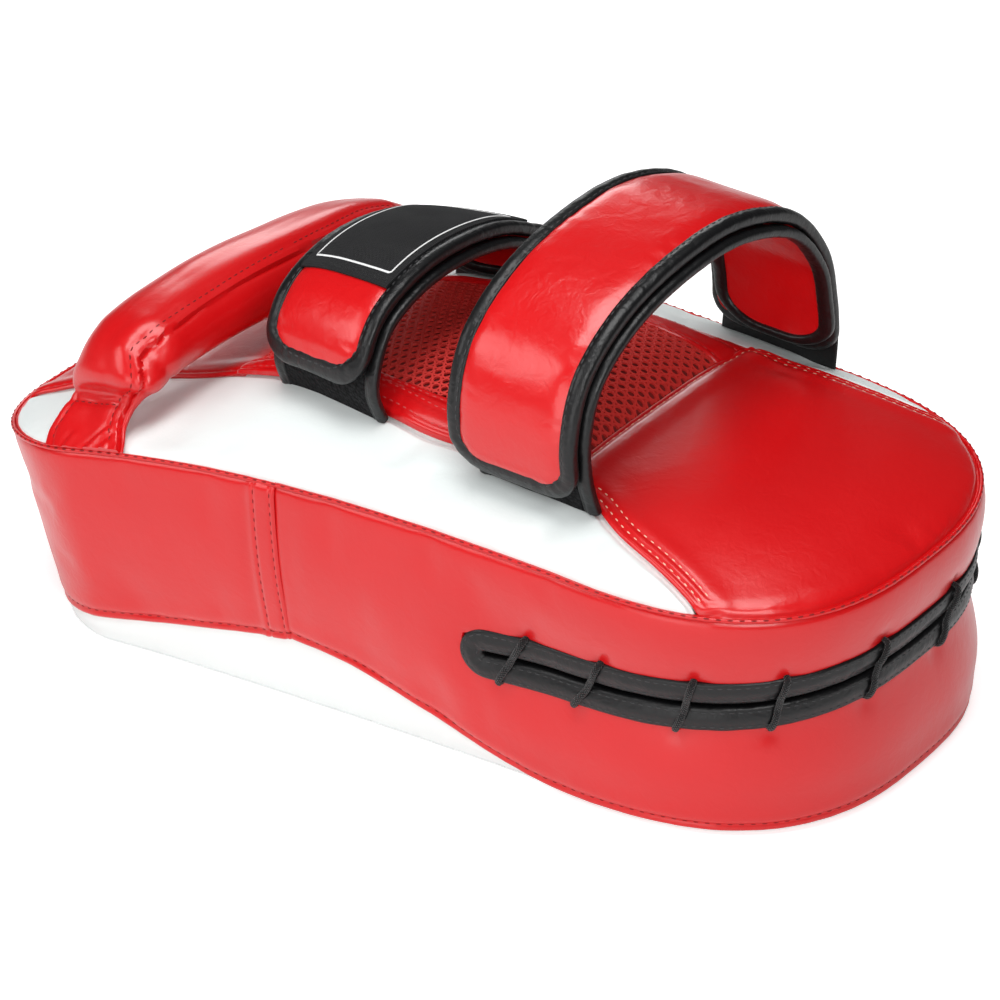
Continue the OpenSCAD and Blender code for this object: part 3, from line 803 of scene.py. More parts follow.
@dataclass
class Wiring:
    """A node tree being wired, with the shader that it feeds and the places that its patterns read."""

    tree: bpy.types.NodeTree
    shader: Node
    place: Socket | None = None

    def join(self, value: object, here: Socket) -> None:
        """Link a socket to an input, or set the input to a plain value.

        Args:
            value: The socket or the value.
            here: The input.
        """
        if isinstance(value, Socket):
            self.tree.links.new(value, here)
        else:
            here.default_value = value

    def put(self, node: Node, **inputs: object) -> Node:
        """Set or link the inputs of a node.

        Args:
            node: The node.
            inputs: A value or a socket for each input, named with _ for a space.

        Returns:
            The node.
        """
        for name, value in inputs.items():
            self.join(value, node.inputs[name.replace("_", " ")])
        return node

    def add(self, kind: str, traits: dict[str, str] | None = None, **inputs: object) -> Node:
        """Add a node.

        Args:
            kind: Its type, without the prefix.
            traits: Settings that it gets before its inputs.
            inputs: Its inputs, as put takes them.

        Returns:
            The node.
        """
        node = self.tree.nodes.new(f"ShaderNode{kind}")
        for name, value in (traits or {}).items():
            setattr(node, name, value)
        return self.put(node, **inputs)

    def feed(self, **inputs: object) -> None:
        """Set or link inputs of the shader."""
        self.put(self.shader, **inputs)

    def math(self, operation: str, *values: object) -> Socket:
        """Work out a sum.

        Args:
            operation: What is done.
            values: The numbers or sockets that it is done with, in order.

        Returns:
            The result.
        """
        node = self.add("Math", {"operation": operation})
        for value, here in zip(values, node.inputs):
            self.join(value, here)
        return node.outputs[0]

    def noise(self, scale: float, detail: float, bend: float = 0) -> Socket:
        """A noise in lumps per metre, with its octaves and its distortion."""
        return self.add("TexNoise", Scale=scale, Detail=detail, Distortion=bend, Vector=self.place).outputs["Fac"]

    def cells(self, scale: float, loose: float = 1, feature: str = "F1") -> Socket:
        """Distances in a pattern of cells per metre, loose from 0 to 1."""
        node = self.add("TexVoronoi", {"feature": feature}, Scale=scale, Randomness=loose, Vector=self.place)
        return node.outputs["Distance"]

    def bumps(self, *layers: tuple[Socket, float, float]) -> None:
        """Chain bumps into the shader's normal.

        Args:
            layers: Height, strength and depth in metres of each bump.
        """
        last = {}
        for height, strength, depth in layers:
            node = self.add("Bump", Strength=strength, Distance=depth, Height=height, **last)
            last = {"Normal": node.outputs["Normal"]}
        self.feed(**last)


@dataclass(frozen=True)
class Finish:
    """A surface with its colour, its lustre and its grain."""

    name: str
    colour: tuple[float, float, float]
    rough: float = 0.5
    vary: float = 0.06

    def material(self) -> bpy.types.Material:
        """The finish as a material, made once.

        Returns:
            The material.
        """
        title = f"{self.name}_finish"
        known = bpy.data.materials.get(title)
        if known:
            return known
        made = bpy.data.materials.new(title)
        made.use_nodes = True
        made.diffuse_color = (*self.colour, 1)
        on = Wiring(made.node_tree, made.node_tree.nodes["Principled BSDF"])
        on.place = on.add("TexCoord").outputs["Object"]
        self.tint(on)
        self.grain(on)
        return made

    def shade(self, on: Wiring, factor: Socket, low: float, high: float) -> None:
        """Vary the colour.

        Args:
            on: The material's nodes.
            factor: Pattern that the colour follows.
            low: How bright it is where the pattern is 0.
            high: How bright where it is 1.
        """
        a, b = ((*[min(1, c * k) for c in self.colour], 1) for k in (low, high))
        ramp = on.add("Mix", {"data_type": "RGBA"}, A=a, B=b, Factor=factor)
        on.feed(Base_Color=ramp.outputs["Result"])

    def tint(self, on: Wiring) -> None:
        """Vary the colour and the roughness a little over the surface.

        Args:
            on: The material's nodes.
        """
        self.shade(on, on.noise(22, 3), 1 - self.vary, 1 + self.vary)
        wear = on.add("MapRange", To_Min=self.rough * 0.86, To_Max=self.rough * 1.14, Value=on.noise(70, 4))
        on.feed(Roughness=wear.outputs["Result"])

    def grain(self, on: Wiring) -> None:
        """Give the surface its relief."""
        on.bumps((on.noise(900, 2), 0.2, 0.0002))


@dataclass(frozen=True)
class Leather(Finish):
    """Coated leather: a fine pebble grain under a glossy coat, with soft creases."""

    pebble: float = 0.16
    crease: float = 0.22
    coat: float = 0.3
    shine: float = 0.6

    def grain(self, on: Wiring) -> None:
        """Pebble grain, fine creases and slow waves.

        Args:
            on: The material's nodes.
        """
        on.feed(Specular_IOR_Level=self.shine, Coat_Weight=self.coat, Coat_Roughness=0.17)
        on.bumps((on.noise(34, 2, 0.4), 0.25, 0.0016), (on.noise(160, 5, 1.2), self.crease, 0.0007),
                 (on.cells(820, feature="SMOOTH_F1"), self.pebble, 0.00025))


@dataclass(frozen=True)
class LoopPile(Finish):
    """Loop side of hook-and-loop tape: a matt pile of small curls."""

    curls: float = 620
    loose: float = 0.8

    def tint(self, on: Wiring) -> None:
        """Painted sheen on the tips of the curls over painted shade in the ground between them."""
        # The colour is lighter at the curl tips for painted sheen and darker between them for painted shade.
        self.shade(on, on.cells(self.curls, self.loose), 3.2, 0.1)
        on.feed(Roughness=self.rough)

    def grain(self, on: Wiring) -> None:
        """Curls in two sizes and a soft sheen."""
        on.feed(Sheen_Weight=0.02, Specular_IOR_Level=0.08)
        on.bumps((on.cells(self.curls, self.loose), 0.9, 0.0011), (on.noise(2200, 3, 2.0), 0.6, 0.0006))


@dataclass(frozen=True)
class Weave(Finish):
    """A flat weave seen through its pattern map."""

    pitch: float = 0.9
    shine: float = 0.25
    sheen: float = 0
    press: float = 0.6

    @property
    def scale(self) -> float:
        """Scale of a wave that repeats with the threads."""
        return 0.314 / (self.pitch * MM)

    def grain(self, on: Wiring) -> None:
        """Two sets of threads that cross."""
        on.feed(Specular_IOR_Level=self.shine, Sheen_Weight=self.sheen)
        on.bumps(*[(wave.outputs["Fac"], self.press, 0.0003) for wave in self.waves(on, on.add("UVMap").outputs["UV"])])

    def waves(self, on: Wiring, uv: Socket) -> list[Node]:
        """Warp and weft over the places uv."""
        inputs = {"Scale": self.scale, "Distortion": 0.4, "Vector": uv}
        return [on.add("TexWave", {"bands_direction": way}, **inputs) for way in "XY"]


@dataclass(frozen=True)
class Braid(Weave):
    """A round braided lace: strands that cross on the slant."""

    slant: float = 38

    def waves(self, on: Wiring, uv: Socket) -> list[Node]:
        """Strands to both sides over the places uv."""
        turned = [on.add("Mapping", Rotation=(0, 0, math.radians(k * self.slant)), Vector=uv) for k in (1, -1)]
        return [on.add("TexWave", Scale=self.scale, Vector=node.outputs["Vector"]) for node in turned]


@dataclass(frozen=True)
class Foam(Finish):
    """Cut foam with open pores."""

    def grain(self, on: Wiring) -> None:
        """Pores of about two millimetres."""
        on.bumps((on.cells(480), 0.6, 0.0008))


RED_LEATHER = Leather("red_leather", (0.64, 0.004, 0.006), rough=0.34, vary=0.05, pebble=0.09, coat=0.4, shine=0.42)
STRAP_LEATHER = Leather("strap_leather", (0.66, 0.004, 0.006), rough=0.3, vary=0.05, crease=0.35, coat=0.4, shine=0.5)
WHITE_LEATHER = Leather("white_leather", (0.83, 0.88, 0.87), rough=0.45, vary=0.012, pebble=0.1, crease=0.12, coat=0.15)
BLACK_LEATHER = Leather("black_leather", (0.005, 0.005, 0.0055), rough=0.36, vary=0.15, pebble=0.3, crease=0.5, coat=0,
                        shine=0.42)
LOOP_FABRIC = LoopPile("loop_fabric", (0.008, 0.008, 0.0085), rough=0.95)
MESH_KNIT = Finish("mesh_knit", (0.74, 0.035, 0.028), rough=0.7, vary=0.1)
# A sheet under the mesh, far darker than the knit: its darkness is painted shade inside the holes.
SHADED_MESH_BACKING = Finish("shaded_mesh_backing", (0.22, 0.013, 0.010), rough=0.9, vary=0.2)
LACE_BRAID = Braid("lace_braid", (0.004, 0.004, 0.0045), rough=0.75, vary=0.2, pitch=0.8, shine=0.3, sheen=0.2,
                   press=0.7)
LABEL_WEAVE = Weave("label_weave", (0.016, 0.016, 0.017), rough=0.8, vary=0.2, pitch=0.7)
LABEL_LINE = Finish("label_line", (0.82, 0.82, 0.82), rough=0.7, vary=0.04)
PALE_THREAD = Finish("pale_thread", (0.78, 0.50, 0.36), rough=0.6, vary=0.15)
RED_THREAD = Finish("red_thread", (0.62, 0.05, 0.05), rough=0.55, vary=0.15)
DARK_THREAD = Finish("dark_thread", (0.24, 0.008, 0.008), rough=0.9, vary=0.2)
BLACK_THREAD = Finish("black_thread", (0.035, 0.035, 0.037), rough=0.6, vary=0.2)
FOAM_CUT = Foam("foam_cut", (0.70, 0.66, 0.55), rough=0.9, vary=0.08)


def coat(piece: Piece, finish: Finish) -> None:
    """Give a piece one finish in place of what it had."""
    piece.data.materials.clear()
    piece.data.materials.append(finish.material())


def dress(piece: Piece, finish: Finish) -> Piece:
    """Give a piece one finish.

    Args:
        piece: The piece.
        finish: Its finish.

    Returns:
        The same piece.
    """
    coat(piece, finish)
    return piece


def settle(piece: Piece, body: Body, *nodes: str, fill: float | None = None) -> Piece:
    """Ride a piece on a body and let it stand for CAD nodes.

    Args:
        piece: The finished piece.
        body: Body that it rides on.
        nodes: CAD nodes that it stands for.
        fill: Not used.

    Returns:
        The piece.
    """
    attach(piece, body.value)
    note(piece, nodes)
    return piece


def note(piece: Piece, nodes: Sequence[str]) -> None:
    """Hide the CAD nodes that a piece stands for and log it.

    Args:
        piece: The finished piece.
        nodes: CAD nodes that it stands for.
    """
    if nodes:
        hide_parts(*nodes)
    LOG.info("%s: %d faces", piece.name, len(piece.data.polygons))


# Stitches

# How far off a surface the search for it starts, and how far it goes, in metres
SEARCH = (0.012, 0.03)


@dataclass
class StitchWork:
    """Rows of stitches in one thread, gathered into one piece."""

    name: str
    thread: Finish
    slot: Slot
    length: float
    radius: float
    spots: list[tuple[Vector, Vector, Vector]] = field(default_factory=list)

    def row(self, path: Array, out: Array, ground: BVHTree, pitch: float = 4.0, sink: float = 0.1) -> None:
        """Lay a row of stitches along a path on a surface.

        Args:
            path: Points near the surface, in mm.
            out: Direction off the surface, one or one for each point.
            ground: The surface that they are sewn to.
            pitch: Way from stitch to stitch in mm.
            sink: How deep their middle line lies, in mm.
        """
        line = Line(path)
        count = int(line.length / pitch)
        ways = (np.arange(count) + 0.5) * line.length / max(1, count)
        outs = [np.interp(ways, line.way, column) for column in np.broadcast_to(out, path.shape).T]
        for p, t, o in zip(line.at(ways), line.along(ways), np.stack(outs, 1)):
            o = Vector(o).normalized()
            hit, n, _, _ = ground.ray_cast(Vector(p) * MM + o * SEARCH[0], -o, SEARCH[1])
            if hit is not None:
                n = -n if n.dot(o) < 0 else n
                t = Vector(t) - n * Vector(t).dot(n)
                self.spots.append((hit - n * sink * MM, t.normalized(), n))

    def make(self) -> Piece:
        """One stitch, bent so that its ends dive in, copied to every spot.

        Returns:
            The dressed piece.
        """
        deselect()
        bpy.ops.mesh.primitive_uv_sphere_add(segments=6, ring_count=5, radius=1)
        one = bpy.context.active_object
        edit(one, lambda: bpy.ops.transform.rotate(value=math.pi / 2, orient_axis="Y", center_override=(0, 0, 0)))
        co = np.array([v.co for v in one.data.vertices])
        co *= np.array([self.length / 2, self.radius, self.radius]) * MM
        co[:, 2] -= 0.55 * self.radius * MM * (co[:, 0] / (self.length / 2 * MM)) ** 2
        faces = [list(p.vertices) for p in one.data.polygons]
        bpy.data.objects.remove(one)
        points, polys = [], []
        for k, (p, t, n) in enumerate(self.spots):
            points.append(co @ np.array([t, n.cross(t), n]) + np.array(p))
            polys += [[i + k * len(co) for i in f] for f in faces]
        piece = from_faces(self.name, np.concatenate(points), polys)
        edit(piece, turn_out)
        return dress(smooth(piece, 60), self.thread)


# The pad's body


@dataclass
class Walls:
    """The side wall in two leather panels, lapped where the arch peaks."""

    bottom: tuple[float, ...] = (0, 0.4, 0.9, 1.5, 2.2, 2.9, 3.5, 4.0, 4.5, 5.1, 6, 7.4, 9.5, 12.5)
    top: tuple[float, ...] = (0, 0.5, 1.1, 1.9, 2.9, 4.2, 6, 8.5, 12)
    lap: tuple[float, ...] = (0, 0.4, 0.9, 1.5, 2.1, 2.7, 3.4, 4.6, 6.2, 7.6, 8.4, 9.0, 9.6, 10.2, 11, 12.2, 14, 18)
    tuck: float = 8
    step: float = 3.2
    row: float = 4.0
    lap_rows: tuple[float, float] = (2.1, 9.6)
    leather: float = 2.0
    puff: float = 1.0
    # Widths along the foot, the top seam, the two ends and the slot that the seams hold
    hold: tuple[float, float, float, float] = (5, 3, 14, 13)
    slot_half: float = 6.5

    def rows(self, height: Array) -> Array:
        """Parts of the height, dense near both seams.

        Args:
            height: Height of each column.

        Returns:
            Parts from 0 to 1, one row for each line.
        """
        low, high = np.array(self.bottom), np.array(self.top)[::-1]
        h = height[:, None]
        mid = np.linspace(0, 1, 18)[1:-1][None]
        return np.concatenate([low / h, low[-1] / h + mid * (1 - (low[-1] + high[0]) / h), 1 - high / h], axis=1).T

    def panel(self, name: str, ways: Array, seed: float, lapped: Array | None) -> tuple[Piece, Array]:
        """One panel of the wall.

        Args:
            name: Name of the piece.
            ways: Ways along the outline of its columns.
            seed: Shifts its creases.
            lapped: Distance of each column to the panel's own folded edge, or None if it is tucked under.

        Returns:
            The piece, and its points before the leather was given thickness.
        """
        p, n = plan_at(ways)
        height = SHAPE.wall_h(p[:, 0])
        v = self.rows(height)
        out = raised(np.broadcast_to(n, (*v.shape, 2)), 0)
        base = SHAPE.wall_at(np.broadcast_to(p, (*v.shape, 2)), out[..., :2], v)
        low, high = v * height, (1 - v) * height
        s = np.broadcast_to(ways, v.shape)
        ends = np.minimum(s - ways[0], ways[-1] - s)
        held = (low < self.hold[0]) | (high < self.hold[1]) | (ends < self.hold[2])
        relief = (bells(low, (-1.3, 0, 0.8), (0.45, 2, 1.1), (-0.6, self.row, 0.7), (0.35, 7.5, 3))
                  + bells(high, (-1.7, 0, 1.7), (0.25, 6, 4))
                  + 0.16 * ripple(s, 7.0, seed) * np.exp(-high / 6) + 0.14 * ripple(s, 5.5, seed + 2) * np.exp(-low / 6)
                  + 0.55 * cloud(base, 75, seed) + 0.18 * cloud(base, 24, seed + 5))
        if lapped is None:
            relief -= 2.2 * (1 - ease(4, 8, ends))
            relief += LACING.pull_at(base)
            held |= LACING.from_slot(base) < self.hold[3]
        else:
            e = np.broadcast_to(lapped, v.shape)
            relief += 1 - ease(10.4, 14, e)
            relief += bells(e, (-1.1, 0, 0.6), (-0.55, self.lap_rows[0], 0.6), (-0.55, self.lap_rows[1], 0.7))
        base = swell(base, held, out, self.puff)
        points = base + grid_normals(base, out) * relief[..., None]
        piece = grid_piece(name, points)
        face = piece.data.polygons[len(piece.data.polygons) // 2]
        k = np.linalg.norm(p - np.array(face.center)[:2] / MM, axis=1).argmin()
        flip_if(np.dot(face.normal[:2], n[k]) < 0, piece)
        return piece, points

    def build(self) -> None:
        """Both panels, dressed, with the stitches of the laps and of the foot."""
        peak, whole = float(way_at(SHAPE.arch_x)), OUTLINE.length
        span = whole - 2 * peak + 2 * self.tuck
        inner = np.linspace(peak - self.tuck, whole - peak + self.tuck, round(span / self.step))
        elbow, _ = self.panel("wall_elbow_leather", inner, 1.7, None)
        self.open_slot(elbow)
        lap, span = np.array(self.lap), 2 * peak
        mid = np.linspace(lap[-1], span - lap[-1], round((span - 2 * lap[-1]) / self.step))[1:-1]
        e = np.concatenate([lap, mid, span - lap[::-1]])
        hand, points = self.panel("wall_hand_leather", whole - peak + e, 4.1, np.minimum(e, span - e))
        for piece, node in ((elbow, "wall_elbow"), (hand, "wall_hand")):
            thicken(dress(piece, RED_LEATHER), self.leather, True)
            settle(piece, Body.PAD, node, fill=0.85)
        work = StitchWork("wall_stitches", DARK_THREAD, Slot.RED, 2.6, 0.36)
        ground = surface_of(elbow, hand)
        p, n = plan_at(np.linspace(0, whole, 700))
        work.row(SHAPE.wall_at(p, n, self.row / SHAPE.wall_h(p[:, 0])), raised(n, 0), ground, 4.2)
        for at in self.lap_rows:
            for end in (at, span - at):
                column = points[4:-4, int(abs(e - end).argmin())]
                work.row(column, raised(plan_at(np.array(whole - peak + end))[1], 0), ground, 3.8)
        settle(work.make(), Body.PAD)

    def open_slot(self, piece: Piece) -> None:
        """Cut the lacing slot out of the elbow end panel.

        Args:
            piece: The panel.
        """
        edit(piece, select_none)
        away = LACING.from_slot(np.array([face.center for face in piece.data.polygons]) / MM)
        piece.data.polygons.foreach_set("select", away < self.slot_half)
        bpy.ops.object.mode_set(mode="EDIT")
        bpy.ops.mesh.select_mode(type="FACE")
        bpy.ops.mesh.delete(type="FACE")
        bpy.ops.object.mode_set(mode="OBJECT")


@dataclass
class StrikingFace:
    """The white face under the pad, wrapped up its long sides to the arch."""

    edge_r: float = 5.0
    step: float = 3.0
    inset: float = 0.6
    leather: float = 1.6
    flat: tuple[float, ...] = (8, 11, 15, 20)

    def build(self) -> None:
        """A shell of rings from the rim, round the edge and in over the flat face."""
        p, n = plan_at(np.linspace(0, OUTLINE.length, round(OUTLINE.length / self.step)))
        top = SHAPE.arch_z(SHAPE.foot_at(p[:, 0])) + SHAPE.rim + 1.2
        low = np.minimum(self.edge_r, top)
        rings = []
        for v in (1.0, 0.8, 0.6, 0.4, 0.2, 0.0):
            puff = 0.9 * 4 * v * (1 - v) * ease(2, 14, top)
            rings.append((-self.inset + puff, low + v * np.maximum(0, top - self.edge_r)))
        for a in np.radians([22.5, 45, 67.5, 90]):
            rings.append((-self.inset - self.edge_r * (1 - math.cos(a)), low * (1 - math.sin(a))))
        rings += [(-inset, 0) for inset in self.flat]
        rows = [raised(SHAPE.foot(p) + n * np.reshape(off, (-1, 1)), z) for off, z in rings]
        piece = grid_piece("striking_face", np.array(rows))
        edit(piece, merge, select_none, bpy.ops.mesh.select_non_manifold)
        mesh = piece.data
        inner = max(abs(v.co.y) for v in mesh.vertices if v.select and v.co.z < 1e-6)
        for v in mesh.vertices:
            v.select = v.select and v.co.z < 1e-6 and abs(v.co.y) <= inner + 1e-6
        for edge in mesh.edges:
            edge.select = all(mesh.vertices[i].select for i in edge.vertices)
        for face in mesh.polygons:
            face.select = False
        bpy.ops.object.mode_set(mode="EDIT")
        bpy.ops.mesh.edge_face_add()
        turn_out()
        bpy.ops.object.mode_set(mode="OBJECT")
        flip_if(min(mesh.polygons, key=lambda f: f.center.z).normal.z > 0, piece)
        thicken(dress(piece, WHITE_LEATHER), self.leather)
        settle(piece, Body.PAD, "front_panel", fill=0.8)


@dataclass
class BackPanel:
    """One panel of the back with what its borders do and the rows sewn along them."""

    node: str
    finish: Finish
    slot: Slot
    borders: list[tuple[Line, Edge]]
    height: Callable[[Array, Array], Array]
    seed: float
    rows: tuple[tuple[int, float], ...] = ()
    leather: float = 1.8
    puff: float = 1.2
    hold: float = 3.5

    def relief(self, base: Array, plan: Array) -> Array:
        """Lumps, edges and grooves of the panel.

        Args:
            base: Points of the panel, in mm.
            plan: Their places in the plan.

        Returns:
            Heights over the points.
        """
        high = 0.5 * cloud(base, 60, self.seed) + 0.14 * cloud(base, 20, self.seed + 3)
        for line, edge in self.borders:
            d, s = line.apart(plan), line.way_of(plan)
            if edge is Edge.SEAM:
                high += bells(d, (-2, 0, 1.9), (0.3, 7, 4)) + 0.2 * ripple(s, 7.5, self.seed) * np.exp(-d / 7)
            elif edge is Edge.LAP:
                high += 1.0 * (1 - ease(8, 15, d)) - 1.0 * hump(d, 0.7)
                high += 0.12 * ripple(s, 6.0, self.seed + 1) * np.exp(-d / 7)
            else:
                high -= 1.8 * (1 - ease(0.4, 2.6, d))
        for k, at in self.rows:
            high -= 0.55 * hump(self.borders[k][0].apart(plan) - at, 0.75)
        return high

    def build(self, plan: Array, work: StitchWork | None = None, pitch: float = 4.0) -> None:
        """Shape the panel over a table of places in the plan, and sew its rows.

        Args:
            plan: Rows of places in the plan, in mm.
            work: Where its stitches are gathered.
            pitch: Way from stitch to stitch.
        """
        base = raised(plan, self.height(plan[..., 0], plan[..., 1]))
        near = np.min([line.apart(plan) for line, _ in self.borders], axis=0)
        base = swell(base, near < self.hold, UP, self.puff)
        points = base + grid_normals(base, UP) * self.relief(base, plan)[..., None]
        piece = dress(grid_piece(f"{self.node}_leather", points, UP), self.finish)
        settle(thicken(piece, self.leather, True), Body.PAD, self.node, fill=0.7)
        middle = np.array([v.co[:2] for v in piece.data.vertices]).mean(0) / MM
        for k, at in self.rows:
            line = self.borders[k][0].spaced(1.5)
            side = left_of(line.along(line.way, 2.0))
            half = len(line.points) // 2
            ahead, back = (np.linalg.norm(line.points[half] + side[half] * d - middle) for d in (5, -5))
            q = line.points[2:-2] + (1 if ahead < back else -1) * side[2:-2] * at
            work.row(raised(q, self.height(q[:, 0], q[:, 1])), UP, surface_of(piece), pitch)


def spread(widths: Array, dense: Sequence[float], count: int) -> Array:
    """Parts of a width, dense near both ends.

    Args:
        widths: Width of each column in mm.
        dense: Distances from an end that get a line.
        count: Lines between them.

    Returns:
        Parts from 0 to 1, one row for each line.
    """
    d = np.array(dense)
    k = np.minimum(1, widths / (3.2 * d[-1]))[:, None]
    low = d * k / np.maximum(widths[:, None], 1e-6)
    mid = np.linspace(0, 1, count + 2)[1:-1][None]
    a, b = low[:, -1:], 1 - low[:, -1:]
    return np.concatenate([low, a + (b - a) * mid, 1 - low[:, ::-1]], axis=1).T


@dataclass
class Back:
    """All panels of the arm side, with the forearm cushion."""

    dense: tuple[float, ...] = (0, 0.45, 1.0, 1.7, 2.4, 3.0, 3.7, 4.7, 5.6, 6.3, 7.0, 8.2, 10.5, 14)
    tuck: float = 3.0
    inset: float = 0.5
    welt_r: float = 0.9

    def __post_init__(self) -> None:
        """Find where the borders of the red middle meet the seam, and start the stitches."""
        self.xa, self.sa = self.meeting(np.linspace(-189, -150, 2000), 1)
        self.xb, self.sb = self.meeting(np.linspace(120, 170, 2000), -1)
        self.work = StitchWork("back_stitches", PALE_THREAD, Slot.WHITE, 2.5, 0.33)
        self.red_work = StitchWork("back_red_stitches", RED_THREAD, Slot.RED, 2.6, 0.36)

    @staticmethod
    def meeting(x: Array, wider: int) -> tuple[float, float]:
        """Where the seam crosses the border of the red middle on the near side.

        Args:
            x: Places along the pad to look at.
            wider: 1 if the seam is the wider beyond the crossing, -1 if the border is.

        Returns:
            The place along the pad, and the way along the outline.
        """
        at = float(x[np.argmax(wider * (SHAPE.plan_w(x) - SHAPE.middle_w(x, -1)) > 0)])
        near = OUTLINE.points[OUTLINE.way <= OUTLINE.length / 2]
        return at, float(OUTLINE.way[np.linalg.norm(near - [at, -SHAPE.plan_w(at)], axis=1).argmin()])

    @staticmethod
    def border(x0: float, x1: float, side: int) -> Line:
        """The border of the red middle from x0 to x1, on the near side (-1) or the far side (1)."""
        x = np.linspace(x0, x1, 240)
        return Line(np.stack([x, side * SHAPE.middle_w(x, side)], 1))

    def seam_between(self, s0: float, s1: float) -> Line:
        """The top seam from way s0 to s1, drawn in a little."""
        p, n = plan_at(np.linspace(s0, s1, 400))
        return Line(p - n * self.inset)

    def build(self) -> None:
        """Build every panel and its stitches."""
        self.white()
        self.elbow()
        self.hand()
        ForearmCushion(self).build()
        for work in (self.work, self.red_work):
            settle(work.make(), Body.PAD)
        self.welt()

    def white(self) -> None:
        """The two white panels along the sides."""
        outer = self.seam_between(self.sa, self.sb)
        t = (1 - np.cos(np.linspace(0, np.pi, 150))) / 2
        t = 0.01 + 0.49 * (t + np.linspace(0, 1, 150))
        for node, side, seed in (("back_near", -1, 2.3), ("back_far", 1, 7.9)):
            k = np.array([1, -side])
            inner = Line(self.border(self.xa, self.xb, side).points * k)
            a, b = inner.at(t * inner.length), outer.at(t * outer.length)
            tuck = self.tuck * ease(1.5, 12, np.linalg.norm(b - a, axis=1))[:, None]
            a = a + left_of(inner.along(t * inner.length, 2.0)) * tuck
            rows = spread(np.linalg.norm(b - a, axis=1), self.dense, 14)[..., None]
            borders = [(Line(outer.points * k), Edge.SEAM), (Line(inner.points * k), Edge.UNDER)]
            panel = BackPanel(node, WHITE_LEATHER, Slot.WHITE, borders, SHAPE.back_z, seed)
            panel.build((a * (1 - rows) + b * rows) * k)

    def elbow(self) -> None:
        """The red panel over the elbow end, folded over the mesh and the white panels."""
        x0, x1 = SHAPE.cushion_x[2], SHAPE.hl - self.inset
        u = np.concatenate([np.array(self.dense) / (x1 - x0), np.sin(np.radians(np.linspace(9, 90, 52)))])
        x = x0 + (x1 - x0) * np.unique(u)
        low, high = (np.minimum(SHAPE.middle_w(x, k), SHAPE.plan_w(x) - self.inset) for k in (-1, 1))
        part = spread(low + high, self.dense, 34).T
        plan = np.stack([np.broadcast_to(x[:, None], part.shape), part * (low + high)[:, None] - low[:, None]], axis=-1)
        seam = self.seam_between(self.sb, OUTLINE.length - self.sb)
        mesh_edge = Line(np.stack([np.full(60, x0), np.linspace(-low[0], high[0], 60)], 1))
        sides = [(self.border(x0, self.xb, k), Edge.LAP) for k in (-1, 1)]
        panel = BackPanel("back_elbow", RED_LEATHER, Slot.RED, [(seam, Edge.SEAM), *sides, (mesh_edge, Edge.LAP)],
                          SHAPE.back_z, 5.3, rows=((1, 3.0), (1, 6.3), (2, 3.0), (2, 6.3), (3, 3.0)))
        panel.build(plan, self.work)

    def hand(self) -> None:
        """The red panel under the handle."""
        x0, x1 = -SHAPE.hl + 0.6, SHAPE.cushion_x[0] + 5
        u = np.concatenate([np.array(self.dense[:8]) / (x1 - x0), np.linspace(0.06, 1, 34)])
        x = x0 + (x1 - x0) * np.unique(u)
        w = np.minimum(SHAPE.middle_w(x, -1), SHAPE.plan_w(x) - self.inset)
        part = spread(2 * w, self.dense, 20).T * 2 - 1
        plan = np.stack([np.broadcast_to(x[:, None], part.shape), part * w[:, None]], axis=-1)
        seam = self.seam_between(-self.sa, self.sa)
        sides = [(self.border(self.xa, SHAPE.cushion_x[0], k), Edge.LAP) for k in (-1, 1)]
        panel = BackPanel("back_hand", RED_LEATHER, Slot.RED, [(seam, Edge.SEAM), *sides], SHAPE.back_z, 8.8,
                          rows=((1, 2.6), (2, 2.6)))
        panel.build(plan, self.red_work)

    def welt(self) -> None:
        """A thin turned edge all along the top seam, with its stitches."""
        s = np.linspace(0, OUTLINE.length, 560)[:-1]
        p, n = plan_at(s)
        middle = raised(p - n * 0.7, SHAPE.seam_z(p[:, 0]) - 0.7)
        out = raised(n, 0)
        a = angles(45)
        size = self.welt_r + 0.1 * ripple(s, 4.2, 0.4)[:, None]
        rings = middle[:, None] + (np.cos(a) * size)[..., None] * out[:, None] + (np.sin(a) * size)[..., None] * UP
        piece = sweep("top_seam_welt", rings, closed=True)
        settle(dress(piece, RED_LEATHER), Body.PAD)
        work = StitchWork("top_seam_stitches", DARK_THREAD, Slot.RED, 2.4, 0.34)
        ring = [*range(len(s)), 0]
        work.row(middle[ring], out[ring] + 0.9 * UP, surface_of(piece), 4.2, 0.05)
        settle(work.make(), Body.PAD)


